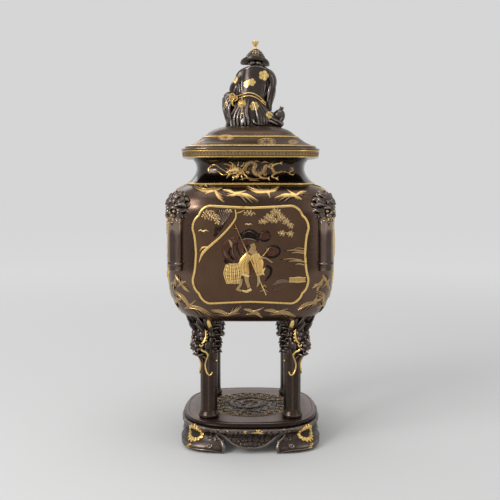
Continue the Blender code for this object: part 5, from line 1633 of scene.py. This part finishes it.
for side in (-1.0, 1.0):
    # an ear, a closed lid, a brow and a collar band that crosses the other on the chest
    robe += [
        egg((7.6 + 9.4 * side, 3.0, 566), (1.8, 2.6, 3.6)),
        egg((7.6 + 3.6 * side, 12.4, 566.4), (1.9, 1.4, 1.1)),
        tube(
            [
                (7.6 + 5.6 * side, 11.4, 568.2), (7.6 + 3.6 * side, 13.0, 569.2),
                (7.6 + 1.2 * side, 13.8, 568.4)
            ],
            (0.6, 1.0, 0.6)
        ),
        tube(
            [
                (7.5 + 9.5 * side, -8, 556), (7.5 + 11.0 * side, 2, 556), (7.5 + 4.5 * side, 11, 549),
                (6.5 - 5.5 * side, 13.5, 536)
            ],
            (2.2, 2.4, 2.6, 1.6), flat=0.8
        ),
    ]
# folds of the lower robe, fanned from the sash: over the raised thigh first, then over the folded leg
for fold in range(6):
    drop = 3.6 * fold
    robe.append(tube(
        [
            on_back(-9 + 1.2 * fold, 510, -0.6), on_back(-20 + 2.8 * fold, 499 - 0.5 * drop, 1.6),
            on_back(-28.5 + 4.9 * fold, 484 - 0.3 * drop, 1.9), on_back(-29.0 + 5.2 * fold, 469, 1.6)
        ],
        (1.0, 2.4 + 0.5 * (fold % 2), 2.7, 1.6), count=10
    ))
for fold in range(6):
    drop = 3.2 * fold
    robe.append(tube(
        [
            on_back(4 + 1.6 * fold, 508, -0.8), on_back(8 + 2.6 * fold, 495 - 0.2 * drop, 1.4),
            on_back(11 + 4.0 * fold, 483 - 0.5 * drop, 2.4), on_back(13 + 3.6 * fold, 470 - 0.2 * fold, 2.2)
        ],
        (0.8, 2.2 + 0.5 * (fold % 2), 2.8, 1.4), count=10
    ))
for places, size in (
    (((-15, 549), (-17.0, 534), (-16, 518)), 1.5), (((-12, 546), (-13.5, 530), (-12.5, 518)), 1.2),
    (((25, 549), (25.2, 530), (21.5, 514)), 1.8), (((20.5, 548), (21.5, 530), (19, 514)), 1.1),
):
    robe.append(tube(backs(places, 0.3), (0.5, size, 0.6), count=10))
for start, bend, end, size in (
    ((-28, 2, 519), (-36.5, 2, 506), (-34.5, 0, 490), 2.6),
    ((-24, -4, 514), (-32, -7, 498), (-30, -9, 480), 2.8),
    ((-35, 6, 512), (-40, 6, 497), (-37.5, 5, 480), 2.2),
    ((-26, -2, 517), (-35, -3, 502), (-33, -5, 482), 2.0),
    ((14, -20, 486), (26, -21.5, 483), (38, -16, 477), 2.6),
    ((18, -22, 478), (29, -22.5, 476), (41, -16, 471.5), 2.4),
    ((4, -23, 480), (6, -25, 474), (13, -25, 470.5), 1.8),
    ((21, -15, 492), (29, -17, 488), (37, -13, 482), 2.2),
):
    robe.append(tube([start, bend, end], (0.8, size, 0.8), count=10))
below_places = [(x, y, z) for z in (430.0, SEAT) for x, y in ((-90, -90), (90, -90), (90, 90), (-90, 90))]
below = mesh_from("below", np.array(below_places), [box])
robe_mesh = cut(melted("figure", robe, 0.76), [below])
spots = np.empty(len(robe_mesh.vertices) * 3, np.float32)
robe_mesh.vertices.foreach_get("co", spots)
spots = spots.reshape(-1, 3) / MM
gilt = np.zeros(len(spots))
for x, z, wide, tall, petals, share in (
    (19.8, 544.8, 8.0, 8.0, 5, 1.0), (-6.2, 531.6, 5.4, 5.2, 5, 1.0), (1.6, 534.4, 6.4, 6.0, 5, 1.0),
    (5.5, 498.6, 7.6, 7.4, 6, 0.55), (-23.0, 540.0, 3.6, 6.4, 4, 1.0), (28.0, 486.0, 5.4, 6.6, 4, 0.8),
    (-37.5, 503.0, 3.0, 6.0, 4, 0.35),
):
    # a flower of n round petals: its edge lies at 0.80 + 0.20 |cos(n a / 2)|, a dark ring round its heart
    u, v = (spots[:, 0] - x) / wide, (spots[:, 2] - z) / tall
    reach, angle = np.hypot(u, v), np.arctan2(v, u)
    petal = np.abs(np.cos(0.5 * petals * angle))
    edge = np.clip((0.80 + 0.20 * petal - reach) / 0.10, 0.0, 1.0)
    vein = np.clip((petal - 0.10) / 0.12, 0.35, 1.0) * np.clip(np.abs(reach - 0.34) / 0.07, 0.35, 1.0)
    gilt = np.maximum(gilt, share * edge * np.where(reach < 0.34, 1.0, vein) * (spots[:, 1] < 6.0))
values = robe_mesh.attributes.new("gilt", "FLOAT", "POINT")
values.data.foreach_set("value", gilt.astype(np.float32))
figure_bronze = bronze(
    "figure_bronze", (0.012, 0.009, 0.008), (0.062, 0.047, 0.041), (0.30, 0.25, 0.22), 0.28, 0.9, 0.12
)
under = figure_bronze.painted("Base Color")
figure_bronze.paint(
    Base_Color=figure_bronze.blend(figure_bronze.attribute("gilt"), under, (0.82, 0.58, 0.21))
)
piece("figure", tone(robe_mesh, 8), figure_bronze, ("finial_figure",))

hat_turn = around(96)
hat_rows = smooth_line(
    [
        (0.6, 14.4), (4.0, 13.4), (8.8, 10.2), (12.6, 5.4), (15.6, 1.8), (19.6, -0.2), (21.8, -2.6),
        (22.2, -6.0), (20.8, -7.4), (19.4, -5.4), (16.0, -2.6), (11.0, -1.0)
    ],
    72
)
hat_radius, hat_z = hat_rows[:, :1], hat_rows[:, 1:]
brim = np.clip((hat_radius - 13.0) / 9.0, 0.0, 1.0)
droop = brim * (3.4 * np.cos(hat_turn) ** 2 + 1.0 * np.clip(np.sin(hat_turn), 0.0, 1.0))
droop -= 3.4 * np.clip((hat_radius - 18.0) / 4.0, 0.0, 1.0) * np.clip(-np.sin(hat_turn), 0.0, 1.0)
meshed = hat_radius * (
    1.0 + (0.020 * np.cos(16.0 * hat_turn) + 0.018 * np.cos(1.9 * hat_z)) * (1.0 - brim) ** 2
)
hat = grid(meshed * np.cos(hat_turn), meshed * np.sin(hat_turn), hat_z - droop)[::-1]
lean = np.array(Euler(np.radians((1.0, 4.0, 0.0))).to_matrix()).T
hat = hat @ lean + (7.3, 2.5, 573.0)
hat_bronze = bronze(
    "hat_bronze", (0.012, 0.009, 0.008), (0.060, 0.043, 0.032), (0.60, 0.42, 0.17), 0.30, 0.9, 0.1
)
meshwork = hat_bronze.painted("Base Color")
crown = hat_bronze.level().between(0.5765, 0.5785)
hat_bronze.paint(Base_Color=hat_bronze.blend(crown, (0.060, 0.043, 0.032), meshwork))
finished("hat", [closed(hat)], 6, hat_bronze)

knob_rows = smooth_line(
    [
        (584.6, 3.4), (586.4, 3.0), (588.2, 1.9), (590.0, 2.0), (592.4, 3.2), (595.6, 4.9), (597.8, 5.6),
        (598.4, 5.2), (597.4, 4.0), (594.0, 1.6)
    ],
    40
)
knob_turn = around(32)
knob_z, knob_radius = knob_rows[:, :1], knob_rows[:, 1:]
knob = grid(7.3 + knob_radius * np.cos(knob_turn), 3.6 + knob_radius * np.sin(knob_turn), knob_z)
gilt_parts = [closed(knob)]
sash = [
    (-31, 512), (-20, 513), (-12, 514.4), (-3, 516.2), (6, 514.4), (13, 510.4), (18.2, 505.6), (22.5, 502.5)
]
for rise in (-2.2, 2.2):
    gilt_parts.append(tube(backs([(x, z + rise) for x, z in sash], 1.3), (1.1, 1.1), count=10, rows=60))
gilt_parts.append(tube([(17, -17, 507), (23, -8, 503), (24, 4, 503)], (1.4, 1.4, 0.8), count=10))
for x, z, size in ((-27, 514, 4.0), (-23.5, 511, 3.6), (-28, 509.5, 3.2)):
    ring = [
        np.add(
            on_back(max(x, -19.0), z, 5.0),
            (min(x + 19.0, 0.0) + size * math.cos(t), 0.0, size * math.sin(t))
        )
        for t in steps(0.0, 2.0 * math.pi, 14)
    ]
    gilt_parts.append(tube(ring, (1.3, 1.3), count=8, rows=36))
gilt_parts.append(tube(
    [(-24, -19, 510), (-27, -18, 504), (-25.5, -18, 499)], (1.8, 2.0, 0.8), count=8, flat=0.6
))
disc = [egg(on_back(-12.9, 502.0, 3.4), (6.3, 1.6, 6.3)), egg(on_back(-12.9, 502.0, 5.0), (2.2, 1.2, 2.2))]
rim = [
    np.add(on_back(-12.9, 502.0, 4.6), (5.5 * math.cos(t), 0.0, 5.5 * math.sin(t)))
    for t in steps(0.0, 2.0 * math.pi, 20)
]
gilt_parts += disc + [tube(rim, (0.8, 0.8), count=8, rows=48)]
gilt_parts.append(tube([on_back(-12.5, 514.0, 2.0), on_back(-12.7, 508.0, 3.0)], (0.8, 0.8), count=8))
gilt_parts.append(tube(
    [on_back(-12.6, 496.0, 3.4), on_back(-12.2, 491.0, 3.6), on_back(-11.9, 488.0, 3.8)], (0.9, 0.7, 0.9),
    count=8
))
gilt_parts += [
    egg(on_back(-11.9, 486.6, 3.8), (2.6, 1.6, 1.7)), egg(on_back(-12.0, 492.5, 4.0), (1.6, 1.3, 1.3))
]
finished("figure_gilt", gilt_parts, 3, body_gold)
toe = [tube([(-9, -21, 482), (-11.8, -25.5, 476), (-12.6, -26.5, 470.5)], (2.4, 2.9, 1.4), count=12)]
silver = gold("worn_silver", (0.62, 0.60, 0.57), 0.24)
finished("figure_toe", toe, 3, silver)
